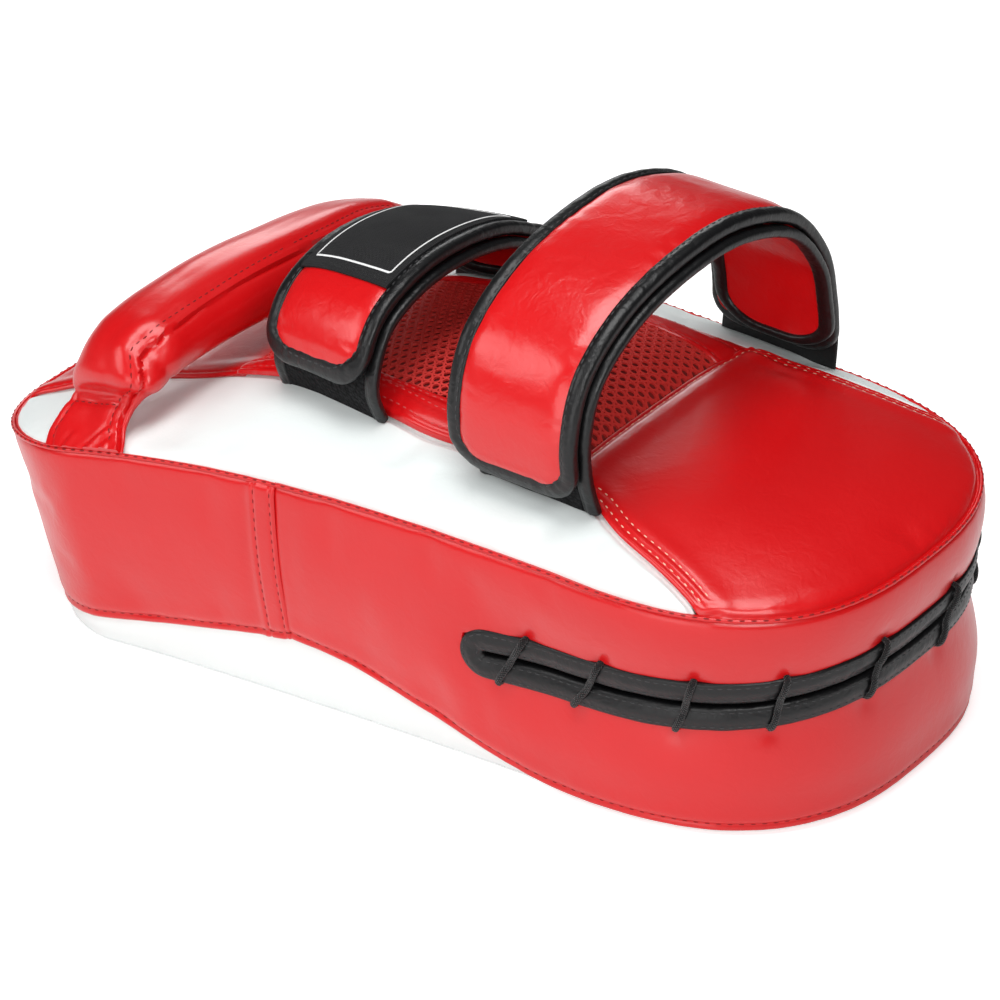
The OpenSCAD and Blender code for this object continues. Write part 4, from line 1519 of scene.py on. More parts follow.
@dataclass
class ForearmCushion:
    """The raised cushion under the forearm: open mesh between two leather bands."""

    back: Back
    cell: float = 4.2
    hole: float = 0.56
    sides: int = 12
    knit: float = 0.9
    cloth: float = 0.6

    def build(self) -> None:
        """Build backing, mesh and bands."""
        self.backing()
        self.mesh()
        for side, node, seed in ((-1, "forearm_band_near", 3.1), (1, "forearm_band_far", 6.6)):
            self.band(side, node, seed)

    def backing(self) -> None:
        """The spacer cloth that shows through the mesh, darkened in colour to paint the shade inside the mesh holes."""
        x = np.linspace(SHAPE.cushion_x[0] - 1, SHAPE.cushion_x[2] + 3, 90)[:, None]
        x, y = np.broadcast_arrays(x, np.linspace(-1, 1, 50) * (SHAPE.mesh_w(x) + 4))
        piece = grid_piece("cushion_backing", np.stack([x, y, SHAPE.cushion_z(x, y) - 1.5], -1), UP)
        thicken(dress(piece, SHADED_MESH_BACKING), self.cloth)
        settle(piece, Body.PAD)

    def mesh(self) -> None:
        """Hexagonal openings in a knitted sheet, one cell copied over the cushion."""
        deselect()
        n, r = self.sides, self.cell / math.sqrt(3)
        bpy.ops.mesh.primitive_circle_add(vertices=n, radius=r, fill_type="NGON")
        one = bpy.context.active_object
        outer = np.array([v.co[:2] for v in one.data.vertices])
        bpy.data.objects.remove(one)
        a = np.arctan2(outer[:, 1], outer[:, 0])
        corner = np.cos(np.pi / 6) / np.cos((a + np.pi / 6) % (np.pi / 3) - np.pi / 6)
        rim = np.stack([np.cos(a), np.sin(a)], 1) * r * self.hole
        shape = left_of(np.concatenate([outer * corner[:, None], rim]))
        x0, _, x1 = SHAPE.cushion_x
        flat, faces = [], []
        for j in range(-16, 17):
            for i in range(int((x1 - x0) / self.cell) + 2):
                c = np.array([x0 + 0.5 + (i + 0.5 * (j % 2)) * self.cell, j * (self.cell * math.sqrt(3) / 2)])
                if c[0] <= x1 + 1.5 and abs(c[1]) <= SHAPE.mesh_w(c[0]) + 2:
                    base = len(flat)
                    flat += [*(c + shape)]
                    faces += [[base + k, base + (k + 1) % n, base + n + (k + 1) % n, base + n + k] for k in range(n)]
        flat = np.array(flat)
        points = raised(flat, SHAPE.cushion_z(flat[:, 0], flat[:, 1]))
        points[:, 2] += 0.35 * cloud(points, 45, 1.2)
        piece = from_faces("cushion_mesh", points * MM, faces)
        edit(piece, lambda: bpy.ops.mesh.remove_doubles(threshold=6e-5))
        flip_if(piece.data.polygons[0].normal.z < 0, piece)
        thicken(dress(piece, MESH_KNIT), self.knit)
        settle(piece, Body.PAD, "forearm_mesh", fill=0.7)

    def band(self, side: int, node: str, seed: float) -> None:
        """One leather band along the cushion.

        Args:
            side: -1 for the near one, 1 for the far one.
            node: CAD node that it stands for.
            seed: Shifts its creases.
        """
        x = np.linspace(SHAPE.cushion_x[0], SHAPE.cushion_x[2] + 2, 110)
        a, b = (np.stack([x, side * w], 1) for w in (SHAPE.mesh_w(x), SHAPE.middle_w(x, side)))
        rows = spread(abs(b - a)[:, 1], self.back.dense[:11], 5)[..., None]
        borders = [(Line(line), Edge.LAP) for line in (b, a)]
        panel = BackPanel(node, RED_LEATHER, Slot.RED, borders, SHAPE.cushion_z, seed,
                          rows=((0, 2.2), (0, 7.6), (1, 2.4)))
        panel.build(a * (1 - rows) + b * rows, self.back.red_work, 3.6)


# Lacing


@dataclass
class Lacing:
    """The laced slot round the elbow end, counted in columns: along a long side, round the end and back."""

    columns: tuple[int, int] = (7, 12)
    face_half: float = 5.7
    ridge: tuple[float, float] = (5.0, 2.9)
    lace_d: float = 2.5
    crossings: tuple[float, ...] = (5.85, 7.55, 10.35, 13.55, 17.35, 19.95, 24.1, 26.6, 28.9, 30.8, 32.15)
    lean: float = 0.34
    reach: float = 11.4
    pucker: tuple[float, float] = (1.5, 3.6)
    lining_half: float = 12
    lining_o: float = -4.5

    def __post_init__(self) -> None:
        """Find the columns of the tip, of the slot's near end and of the facing's two turns."""
        straight = SHAPE.xs1 - SHAPE.arch_x
        self.column_mm = straight / self.columns[0]
        self.tip = sum(self.columns)
        self.start = self.columns[0] * (SHAPE.slot_x - SHAPE.arch_x) / straight
        self.ends = (self.start + 0.66, 2 * self.tip - (self.start + 0.66))

    def nearer(self, c: Array) -> Array:
        """Columns of the far half, counted as those of the near half."""
        return np.minimum(c, 2 * self.tip - c)

    def way(self, c: Array) -> Array:
        """Ways along the outline.

        Args:
            c: Columns, which may be fractions.

        Returns:
            Ways in mm.
        """
        near = self.nearer(c)
        side, turn = self.columns
        a = np.radians(90 * np.clip((near - side) / turn, 0, 1))
        x = np.where(near <= side, SHAPE.arch_x + (SHAPE.xs1 - SHAPE.arch_x) * near / side,
                     SHAPE.xs1 + SHAPE.elbow_round * np.sin(a) ** (2 / SHAPE.square))
        return np.where(c <= self.tip, way_at(x), OUTLINE.length - way_at(x))

    def middle_z(self, c: Array) -> Array:
        """Height of the slot's middle line."""
        return SHAPE.slot_z + SHAPE.slot_rise * ease(self.start, self.tip, self.nearer(c))

    def at(self, c: Array | float, dz: Array | float, o: Array | float) -> Array:
        """Points on the wall near the slot.

        Args:
            c: Columns.
            dz: Heights over the slot's middle line.
            o: How far to stand off the wall.

        Returns:
            Points in mm.
        """
        c, dz = np.broadcast_arrays(np.asarray(c, float), dz)
        p, n = plan_at(self.way(c))
        return SHAPE.wall_at(p, n, SHAPE.wall_v(p[..., 0], self.middle_z(c) + dz), o)

    def pull_at(self, points: Array) -> Array:
        """How the lace's holes pucker the wall.

        Args:
            points: Points of the wall, in mm.

        Returns:
            Heights, 0 or below.
        """
        pull = np.zeros(points.shape[:-1])
        for c in self.crossings:
            for u in (-1, 1):
                hole = self.at(c + self.lean * u, self.reach * u, 0)
                pull -= self.pucker[0] * hump(np.linalg.norm(points - hole, axis=-1), self.pucker[1])
        return pull

    def from_slot(self, points: Array) -> Array:
        """How far points lie over or under the slot's middle line.

        Args:
            points: Points of the wall, in mm.

        Returns:
            Distances in mm, large where there is no slot.
        """
        x = points[..., 0]
        t = SHAPE.round_t(x)
        turn = np.degrees(np.arcsin(t ** (SHAPE.square / 2)))
        side = self.columns[0] * (x - SHAPE.arch_x) / (SHAPE.xs1 - SHAPE.arch_x)
        c = np.where(t <= 0, side, self.columns[0] + self.columns[1] * turn / 90)
        return np.where(x < SHAPE.slot_x + 4, 1000, abs(points[..., 2] - self.middle_z(c)))

    def build(self) -> None:
        """Build facing, lining and lace."""
        self.facing()
        self.lining()
        self.lace()

    def facing(self) -> None:
        """Two padded ridges that meet in a narrow groove and turn at both ends."""
        c0, c1 = self.ends
        run, turn = 220, 14
        path = [(c, -90.0) for c in np.linspace(c0, c1, run)]
        path += [(c1, -90 + 180 * (k + 1) / (turn + 1)) for k in range(turn)]
        path += [(c, 90.0) for c in np.linspace(c1, c0, run)]
        path += [(c0, 90 + 180 * (k + 1) / (turn + 1)) for k in range(turn)]
        c, q = np.array(path)[:, :1], np.radians(np.array(path)[:, 1:])
        a = angles(18)[None]
        s = np.arange(len(path))[:, None] * 1.0
        pinch = np.max([hump((c - stop) * self.column_mm, 4.0) for stop in self.crossings], axis=0)
        fat = 1 + 0.05 * ripple(s, 9, 0.7) - 0.10 * pinch
        r = self.face_half + self.ridge[0] * np.cos(a) * (1 + 0.02 * ripple(s, 17, 1.9))
        o = -0.8 + self.ridge[1] * power(np.sin(a), 0.8) * fat
        o = o + bells(np.degrees(a), (-0.55, 62, 14), (-0.5, 118, 16))
        place = (c + r * np.cos(q) / self.column_mm, r * np.sin(q))
        rings = self.at(*place, o)
        out = self.at(*place, o + 1) - rings
        piece = dress(sweep("lace_facing_leather", rings, closed=True), BLACK_LEATHER)
        settle(refine(piece), Body.PAD, "lace_facing", fill=0.6)
        work = StitchWork("facing_stitches", BLACK_THREAD, Slot.BLACK, 2.3, 0.26)
        ring = [*range(len(path)), 0]
        for k in (3, 7):
            work.row(rings[ring, k], out[ring, k], surface_of(piece), 3.4, 0.0)
        settle(work.make(), Body.PAD)

    def lining(self) -> None:
        """Dark cloth behind the slot."""
        c = np.linspace(self.ends[0] - 0.5, self.ends[1] + 0.5, 120)[None]
        dz = np.linspace(-self.lining_half, self.lining_half, 9)[:, None]
        piece = grid_piece("lace_lining_cloth", self.at(c, dz, self.lining_o))
        dress(piece, LOOP_FABRIC)
        edit(piece, merge)
        settle(thicken(piece, 1.2, offset=0), Body.PAD, "lace_lining")

    def lace(self) -> None:
        """Crossings that dive into the wall on both sides of the facing."""
        a, r = angles(36), self.lace_d / 2
        u = np.linspace(-1, 1, 41)
        dz = self.reach * power(u, 0.9)
        over = np.clip(1 - ((abs(dz) - self.face_half) / self.ridge[0]) ** 2, 0, 1)
        o = 0.1 + self.ridge[1] * np.where(abs(dz) < self.face_half, np.maximum(over, 0.6), over) ** 0.5
        o = o - 3.4 * ease(0.9, 1.0, abs(u))
        pieces = []
        for k, stop in enumerate(self.crossings):
            c = stop + self.lean * u + 0.025 * np.sin(3 * u + k)
            mid = self.at(c, dz, o)
            t = unit(np.gradient(mid, axis=0))
            off = self.at(c, dz, o + 1) - mid
            off = unit(off - (off * t).sum(1, keepdims=True) * t)
            wide, high = np.cos(a)[:, None] * 1.12, np.sin(a)[:, None] * 0.9
            rings = mid[:, None] + r * (wide * np.cross(t, off)[:, None] + high * off[:, None])
            girth = np.linspace(0, 2 * np.pi * r, len(a) + 1)
            uv = np.stack(np.broadcast_arrays(Line(mid).way[:, None], girth), -1)
            pieces.append(sweep(f"crossing_{k}", rings, closed=False, uv=uv))
        activate(pieces[0])
        for piece in pieces:
            piece.select_set(True)
        bpy.ops.object.join()
        piece = bpy.context.active_object
        piece.name = piece.data.name = "lace_crossings"
        settle(dress(piece, LACE_BRAID), Body.PAD, "lace_cord")


LACING = Lacing()


# Handle


@dataclass
class Handle:
    """The padded grip, whose outer leather runs down over both feet into the top seam."""

    x: float = -116
    skew: float = 0.06
    around: int = 96
    step: float = 0.85
    fold: float = 3.35
    row: float = 4.0
    foot_row: float = 4.2
    pitch: float = 3.3
    bend_y: tuple[float, float] = (102, 88)
    bend_z: float = 96
    # Outer side and height, inner side and height, half width left and right, tilt, lap from the right, flatness
    knots: tuple[tuple[float, ...], ...] = (
        (-105.9, 90.5, -105.2, 89, 18.3, 19, 0, 2, 1), (-101, 93.4, -100.2, 90.8, 21, 16.2, 0.3, 2.6, 1),
        (-96.1, 97, -94.9, 94, 20.8, 13.4, 1.6, 3.2, 1), (-91.6, 101, -89.9, 97.5, 20, 12.8, 3, 3.8, 1),
        (-88.3, 104.9, -85.2, 100.3, 19.4, 13.8, 4, 4.4, 0.9), (-89.3, 108.2, -81.8, 101.6, 19.4, 16.6, 4.8, 5, 0.7),
        (-92, 111.8, -78.4, 102.7, 20, 19.4, 4.5, 5.6, 0.4), (-92.2, 116.2, -75.4, 103.9, 20.4, 20.4, 3.2, 7, 0.2),
        (-89.2, 121.2, -72.3, 104.8, 20, 20.4, 1.8, 10, 0), (-84.6, 126, -69.5, 105.2, 20, 19.4, 0.8, 12.8, 0),
        (-78, 130, -67, 105.4, 20, 20.2, 0.2, 12.4, 0), (-70, 133, -64, 105.7, 20, 20, 0, 11.8, 0),
        (-53, 135.9, -51, 106.4, 20, 20, 0, 11.4, 0), (-26.5, 137.4, -25.5, 106.6, 20, 20, 0, 11.8, 0),
        (0, 136.5, 0, 105.5, 20, 20, 0, 12.4, 0), (27.9, 133.9, 24.1, 103.1, 20, 20, 0, 13.8, 0),
        (49, 130, 43, 100.7, 20, 20, 0, 15.6, 0), (65, 124.9, 56.8, 98.4, 20, 20, 0.2, 15, 0),
        (71, 121.8, 62, 98, 20, 19.6, 0.6, 12.5, 0), (76.3, 118.3, 66.5, 97.7, 20, 19.2, 1.2, 10, 0),
        (80.7, 114.8, 70, 97.5, 20, 19.6, 1.8, 7.5, 0.1), (84.8, 110.8, 73.5, 97.2, 20, 19.8, 2.4, 6.2, 0.2),
        (88, 106.5, 77.5, 96.9, 19.4, 19.2, 2.8, 5.4, 0.4), (89.2, 103, 82, 96.3, 18, 17.4, 2.6, 4.8, 0.7),
        (89.6, 100.2, 86, 95.6, 16.8, 16, 2, 4.2, 0.9), (92.4, 97.6, 90.4, 94.4, 16.4, 15.6, 1.2, 3.8, 1),
        (96.7, 95, 95.5, 92, 17, 16.2, 0.6, 3.2, 1), (101.3, 92.6, 100.5, 90, 18.4, 17.6, 0.2, 2.6, 1),
        (105.9, 90.5, 105.2, 89, 19.6, 19, 0, 2, 1))
    # Pleats of each foot: where they start, how they lean, how far they reach and how high they are
    pleats: tuple[tuple[float, ...], ...] = ((0.02, 0.036, 12, 1.0), (-0.45, 0.006, 6.5, 0.7), (0.42, 0.012, 8, 0.5))

    def __post_init__(self) -> None:
        """Lay the rings of the skin and measure each from its right side over the top."""
        q = np.array(self.knots)
        fine = np.linspace(0, 1, 3000)
        walk = Line(spline(q, fine)[:, :4] / 2)
        t = np.interp(np.linspace(0, walk.length, round(walk.length / self.step)), walk.way, fine)
        c = spline(q, t)
        self.lap = c[:, 7:8]
        self.knot = t * (len(q) - 1)
        self.ends = np.minimum(self.knot, len(q) - 1 - self.knot)[:, None]
        a = angles(360 / self.around)[None]
        ca, sa = np.cos(a), power(np.sin(a), 1 - 0.62 * np.clip(c[:, 8:9], 0, 1))
        mid, half = (c[:, :2] + c[:, 2:4]) / 2, (c[:, :2] - c[:, 2:4]) / 2
        y, z = (mid[:, k:k + 1] + half[:, k:k + 1] * sa for k in (0, 1))
        line, near = self.x + self.skew * mid[:, :1], 1 - ease(0, 3.4, self.ends)
        x = line + np.where(ca > 0, c[:, 5:6], c[:, 4:5]) * ca
        y = y + np.sign(mid[:, :1]) * near * (SHAPE.plan_w(x) - SHAPE.plan_w(line))
        z = z + c[:, 6:7] * ca + near * (SHAPE.seam_z(x) - SHAPE.seam_z(line))
        self.rings = np.stack([x, y, z], -1)
        closed = np.concatenate([self.rings, self.rings[:, :1]], 1)
        centre = self.rings.mean(1, keepdims=True)
        self.normals = grid_normals(closed, closed - centre, wrap=True)[:, :-1]
        steps = np.linalg.norm(np.diff(closed, axis=1), axis=-1)
        arc = np.concatenate([np.zeros((len(t), 1)), np.cumsum(steps, 1)[:, :-1]], 1)
        self.arc = np.where(a > np.pi * 1.5, arc - steps.sum(1, keepdims=True), arc)
        self.over = self.arc[:, self.around // 2][:, None]
        self.left = self.over - self.arc

    def relief(self) -> Array:
        """Lap, groove, pleats and creases of the skin.

        Returns:
            Heights over the plain rings.
        """
        e, r, knot = self.arc - self.lap, self.rings, self.knot[:, None]
        tail = 1 - ease(3.6, 4.6, self.ends)
        top = ease(-3, 3, self.arc) * ease(-3, 3, self.left)
        high = 1.25 * ease(-0.3, 0.45, e) * (1 - ease(7, 17, e))
        high = high + bells(e, (-1, -0.45, 0.5), (-0.5, self.row, 0.75))
        high = high + 0.55 * (1 - ease(5, 8, self.ends)) * hump(e + self.lap / 2 + 0.2, 0.4 * self.lap)
        high = high - 0.45 * tail * top * hump(self.left - self.foot_row, 0.75)
        cross = knot - np.where(knot < 14, self.fold, len(self.knots) - 1 - self.fold)
        high = high + top * bells(4 * cross, (-0.5, 0, 0.8), (0.5, 2.6, 1.6))
        u = (r[..., 0] - self.x - self.skew * r[..., 1]) / 20
        down = 106 - abs(r[..., 1])
        for start, lean, reach, size in self.pleats:
            d = 18 * (u - start - lean * down)
            pleat = bells(d, (0.9, 1.5, 1.5), (-0.9, -0.5, 0.9))
            high = high + tail * top * size * pleat * (1 - ease(0.5 * reach, reach, down))
        pinch = self.on_rings(self.lap - 1.0)[0][abs(self.knot - 9.4).argmin()]
        near = np.linalg.norm(r - pinch, axis=-1)
        spin = np.arctan2(r[..., 2] - pinch[2], r[..., 1] - pinch[1])
        high = high + bells(near, (-1, 0, 4), (0.8, 10, 6)) + 0.1 * np.cos(6 * spin) * hump(near - 9, 5)
        lump = 0.18 + 0.4 * (1 - ease(7.5, 11, self.ends)) * (1 - tail)
        return high + 0.45 * cloud(r, 32, 3.0) + lump * cloud(r, 18, 8.0) + 0.25 * tail * cloud(r, 8, 4.0)

    def on_rings(self, arc: Array) -> tuple[Array, Array]:
        """Points and normals of every ring at a way over its top from its right side.

        Args:
            arc: One way for each ring, in mm.

        Returns:
            The points and the normals.
        """
        half = self.around // 2 + 1
        ways = [(w, own[:half]) for w, own in zip(np.ravel(arc), self.arc)]
        points, normals = (
            np.array([[np.interp(w, own, column) for column in row[:half].T] for (w, own), row in zip(ways, table)])
            for table in (self.rings, self.normals))
        return points, normals

    def build(self) -> None:
        """Build both halves with their stitches."""
        skin = self.rings + self.normals * self.relief()[..., None]
        middle = int(abs(self.knot - 14).argmin())
        for end, side, part in (("near", -1, slice(0, middle + 1)), ("far", 1, slice(middle, None))):
            piece = dress(sweep(f"handle_{end}_leather", skin[part], closed=False), RED_LEATHER)
            self.bend(piece, side, ("handle_cover", f"handle_foot_{end}"), 0.8)
            work = StitchWork(f"handle_{end}_stitches", DARK_THREAD, Slot.RED, 2.3, 0.3)
            self.sew(work, piece, part)
            self.bend(work.make(), side, ())

    def bend(self, piece: Piece, side: int, nodes: Sequence[str], fill: float | None = None) -> None:
        """Bake a half of the handle where it stands and hide the CAD nodes that it stands for.

        Args:
            piece: The finished piece.
            side: Not used.
            nodes: CAD nodes that it stands for.
            fill: Not used.
        """
        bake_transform(piece)
        note(piece, nodes)

    def sew(self, work: StitchWork, piece: Piece, part: slice) -> None:
        """Stitch the lap, the foot's left side and the row across its fold.

        Args:
            work: Where the stitches are gathered.
            piece: The half that they hold.
            part: Its rings.
        """
        ground, ends = surface_of(piece), self.ends[part, 0]
        p, n = self.on_rings(self.lap + self.row)
        work.row(p[part][3:-1], n[part][3:-1], ground, self.pitch, 0.0)
        p, n = self.on_rings(self.over - self.foot_row)
        keep = (ends > 0.3) & (ends < 3.4)
        work.row(p[part][keep], n[part][keep], ground, self.pitch, 0.0)
        k = part.start + int(abs(ends - self.fold).argmin())
        way = (self.arc[k] > self.lap[k] + 4) & (self.left[k] > 3.5)
        work.row(self.rings[k][way], self.normals[k][way], ground, self.pitch, 0.0)


# Straps


@dataclass
class Strap:
    """One arm strap: loop tab, padded strap with its flap, and their bindings."""

    name: str
    body: Body
    arch: Array
    x: float
    half: float
    cone_y: float
    cone_z: float
    skew: float
    tip: float
    seed: float
    slim: float
    tip_r: float = 16
    bind: float = 6.6
    tip_bind: float = 3.0
    loop_end: float = 0.6
    tab_end: float = 0.95
    end: float = 0.972
    hinge: float = 0.5
    anchor: float = 0.84
    patch: tuple[float, float] = (0, 0)
    # How far outward of the arch the layers lie, the bindings with their inner and outer face
    tab_o: float = 3.0
    tab_bind_o: tuple[float, float] = (-1.0, 4.1)
    hook_o: float = 4.3
    leather_o: float = 9.2
    bind_o: tuple[float, float] = (3.9, 10.3)
    label_o: float = 10.35
    line_o: float = 10.4
    anchor_o: float = 11.9

    def __post_init__(self) -> None:
        """Measure the arch."""
        self.length = Line(spline(self.arch, np.linspace(0, 1, 200))).length

    def at(self, s: Array, x: Array, o: Array | float) -> Array:
        """Points of the strap.

        Args:
            s: Part of the arch from the near root.
            x: Place across.
            o: How far outward.

        Returns:
            Points in mm.
        """
        s, x = np.broadcast_arrays(np.asarray(s, float), np.asarray(x, float))
        k = (x - self.x) / self.half
        q = spline(self.arch, s)
        e = 0.004
        t = spline(self.arch, np.minimum(1, s + e)) - spline(self.arch, np.maximum(0, s - e))
        ky, kz = 1 + self.cone_y * k, 1 + self.cone_z * k
        n = unit(np.stack([-t[..., 1] * kz, t[..., 0] * ky], -1))
        z0, z1 = (SHAPE.back_z(x, root * ky) for root in self.arch[[0, -1], 0])
        return np.stack([x + self.skew * (q[..., 0] + 62), q[..., 0] * ky + n[..., 0] * o,
                         z0 * (1 - s) + z1 * s + q[..., 1] * kz + n[..., 1] * o + 1.2], -1)

    def band(self, s: Array, inset: float, r: float) -> Array:
        """Half widths of the strap.

        Args:
            s: Parts of the arch, from end to end.
            inset: How far the edge is drawn in.
            r: Radius of the corners at both ends.

        Returns:
            Widths in mm.
        """
        d = np.minimum(s - s[0], s[-1] - s) * self.length
        w = self.half - inset
        return np.where(d < r, w - r + np.sqrt(np.maximum(0, r * r - (r - d) ** 2)), w)

    def edge_path(self, inset: float) -> Array:
        """A closed line round the strap.

        Args:
            inset: How far it runs inside the edge.

        Returns:
            Ways and places of its points.
        """
        w, r = self.half - inset, self.tip_r
        a, b = self.tip * self.length + inset + r, self.end * self.length - inset - r
        sn, cs = r * np.sin(quarter(16)), r * np.cos(quarter(16))
        corners = [(a - sn, -w + r - cs), (a - cs, w - r + sn), (b + sn, w - r + cs), (b + cs, -w + r - sn)]
        line = np.concatenate([np.stack([way, self.x + place], 1) for way, place in corners])
        return Line(np.concatenate([line, line[:1]])).spaced(1.5).points[:-1]

    def trim(self, name: str, path: Array, low: float, high: float, wide: Array | float, closed: bool) -> Piece:
        """A padded binding folded over an edge.

        Args:
            name: Last part of the piece's name.
            path: Ways and places of the edge that it wraps.
            low: Inner face of the binding, outward of the strap's line.
            high: Its outer face.
            wide: Width on the face, one or one for each point.
            closed: The path is a ring.

        Returns:
            The dressed piece.
        """
        side = left_of(unit(np.roll(path, -1, 0) - np.roll(path, 1, 0) if closed else np.gradient(path, axis=0)))
        inward = np.sign(((np.array([0.5 * self.length, self.x]) - path) * side).sum(1).mean()) if closed else 1
        ca, sa = power(np.cos(angles(15)), 0.8), power(np.sin(angles(15)), 0.62)
        s = np.arange(len(path))[:, None] * 1.5
        fat = 1 + 0.045 * ripple(s, 8, self.seed) + 0.04 * ripple(s, 5.1, self.seed + 1)
        wide = np.broadcast_to(np.reshape(wide, (-1, 1)), (len(path), 1))
        across = wide / 2 * (1 - ca)
        place = path[:, None] + inward * side[:, None] * across[..., None]
        seam = 0.55 * hump(across - (wide - 1.6), 0.7) * (sa > 0)
        off = (low + high) / 2 + (high - low) / 2 * sa * fat * (1 - 0.10 * (1 + ca)) - seam
        rings = self.at(np.clip(place[..., 0] / self.length, 0, 1), place[..., 1], off)
        return dress(sweep(f"{self.name}_{name}", rings, closed), BLACK_LEATHER)

    def sheet(self, name: str, points: Array, finish: Finish, slot: Slot, mm: float, finer: bool = False,
              uv: Array | None = None) -> Piece:
        """A sheet of the strap with its faces away from the arm.

        Args:
            name: Last part of the piece's name.
            points: Rows of points in mm.
            finish: Its finish.
            slot: Not used.
            mm: Its thickness.
            finer: Also subdivide it.
            uv: A place in the pattern for each point, in mm.

        Returns:
            The dressed piece.
        """
        piece = grid_piece(f"{self.name}_{name}", points, uv=uv)
        flip_if(max(piece.data.polygons, key=lambda f: f.center.z).normal.z < 0, piece)
        return thicken(dress(piece, finish), mm, finer)

    def bend(self, piece: Piece, *nodes: str, fill: float | None = None) -> None:
        """Bake a piece where it stands and hide the CAD nodes that it stands for.

        Args:
            piece: The finished piece.
            nodes: CAD nodes that it stands for.
            fill: Not used.
        """
        h = self.at(np.array(self.hinge), np.array(self.x), self.bind_o[1]) * MM
        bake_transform(piece)
        note(piece, nodes)

    def build(self) -> None:
        """Build every piece of the strap."""
        self.tab()
        self.leather()
        self.under()

    def tab(self) -> None:
        """The loop tab under the flap, the red lining that goes on from it, and their edge bindings."""
        u = np.linspace(-1, 1, 40)[None]
        end, turn = self.tab_end * self.length, self.tip_r + 6
        for name, s0, s1, finish, slot, nodes in (
            ("loop_tab", 0, self.loop_end, LOOP_FABRIC, Slot.LOOP, (f"{self.name}_tab",)),
            ("lining", self.loop_end, self.tab_end, STRAP_LEATHER, Slot.RED, ()),
        ):
            s = np.linspace(s0, s1, round((s1 - s0) * 170))[:, None]
            lost = np.clip(turn - (end - s * self.length), 0, turn)
            wide = self.half - 1.2 - self.slim / 2 - turn + np.sqrt(turn**2 - lost**2)
            points = self.at(s, self.x + self.slim / 2 + u * wide, self.tab_o + 0.35 * (1 - u**2))
            points = points + 0.3 * cloud(points, 9, self.seed)[..., None] * np.array([0.2, 0.5, 0.5])
            settle(self.sheet(name, points, finish, slot, 2.6), Body.PAD, *nodes)
        left, right = self.x - self.half - 2 + self.slim, self.x + self.half + 2
        sn, cs = turn * np.sin(quarter(14)), turn * np.cos(quarter(14))
        path = [[(0, left)], np.stack([end + 1 - turn + sn, left + turn - cs], 1),
                np.stack([end + 1 - turn + cs, right - turn + sn], 1), [(0, right)]]
        path = Line(np.concatenate(path)).spaced(1.5).points
        settle(self.trim("tab_edges", path, *self.tab_bind_o, 6.2, False), Body.PAD, f"{self.name}_tab_binding")

    def leather(self) -> None:
        """The padded strap from its tip to its far end, with its binding and stitches."""
        lead = 2.2 / self.length
        arc = 1 - np.cos(np.radians(np.linspace(0, 24, 14)))
        v = np.concatenate([arc, np.linspace(0.092, 0.908, 116), 1 - arc[::-1]])
        s = self.tip + lead + (self.end - self.tip - 2 * lead) * v
        w = self.band(s, 2.2, self.tip_r - 1.5)[:, None]
        u = np.concatenate([np.linspace(-1, -0.62, 12), np.linspace(-0.58, 0.58, 26), np.linspace(0.62, 1, 12)])[None]
        e = np.minimum((1 - abs(u)) * w, np.minimum(s - s[0], s[-1] - s)[:, None] * self.length)
        crown = self.leather_o + 0.9 * (1 - u**4) - 1.6 * hump(e, 4.8)
        base = self.at(s[:, None], self.x + u * w, crown)
        out = self.at(s[:, None], self.x + u * w, crown + 1) - base
        patch = (s > self.patch[0] - 0.03) & (s < self.patch[1] + 0.03)
        base = swell(base, (e < 4) | patch[:, None], out, 0.7)
        pull = 0.16 * ripple(s[:, None] * self.length, 9, self.seed) * np.exp(-((e - 5) / 5) ** 2)
        crease = 0.3 * cloud(base, 26, self.seed) + 0.14 * cloud(base * [1, 2.2, 2.2], 12, self.seed + 4) + pull
        piece = self.sheet("strap_leather", base + out * crease[..., None], STRAP_LEATHER, Slot.RED, 4.0, True)
        self.bend(piece, f"{self.name}_strap", f"{self.name}_flap", fill=0.5)
        path = self.edge_path(0)
        tips = 1 - ease(1, 13, np.minimum(path[:, 0] - self.tip * self.length, self.end * self.length - path[:, 0]))
        binding = refine(self.trim("strap_edge", path, *self.bind_o, self.bind + self.tip_bind * tips, True))
        self.bend(binding, f"{self.name}_strap_binding", f"{self.name}_flap_binding")
        work = StitchWork(f"{self.name}_strap_stitches", BLACK_THREAD, Slot.BLACK, 2.6, 0.32)
        row = self.edge_path(self.bind - 1.6)
        p, over = (self.at(row[:, 0] / self.length, row[:, 1], o) for o in (10.0, 11.0))
        work.row(p, over - p, surface_of(binding, piece), 3.6, 0.0)
        self.bend(work.make())

    def under(self) -> None:
        """The hook patch inside the flap and the black anchor outside the far end."""
        s = np.linspace(self.tip + 0.07, 0.4, 40)[:, None]
        u = np.linspace(-1, 1, 16)[None]
        points = self.at(s, self.x + u * (self.half - 12), self.hook_o)
        settle(self.sheet("hook_patch", points, LOOP_FABRIC, Slot.LOOP, 0.9), self.body, f"{self.name}_hook")
        s = np.linspace(self.anchor, 1, 30)[:, None]
        x = self.x + u * (self.half - 2)
        foot = self.at(np.ones_like(s), x, self.anchor_o)
        drop = foot[..., 2] - SHAPE.back_z(foot[..., 0], foot[..., 1]) - 0.2
        rise = 0.3 * (1 - u**2) - 1.4 * (1 - ease(self.anchor, self.anchor + 0.022, s))
        points = self.at(s, x, self.anchor_o + rise)
        points[..., 2] -= drop * ((s - self.anchor) / (1 - self.anchor)) ** 2
        piece = self.sheet("anchor_leather", points, BLACK_LEATHER, Slot.BLACK, 2.0, True)
        settle(piece, Body.PAD, f"{self.name}_anchor")

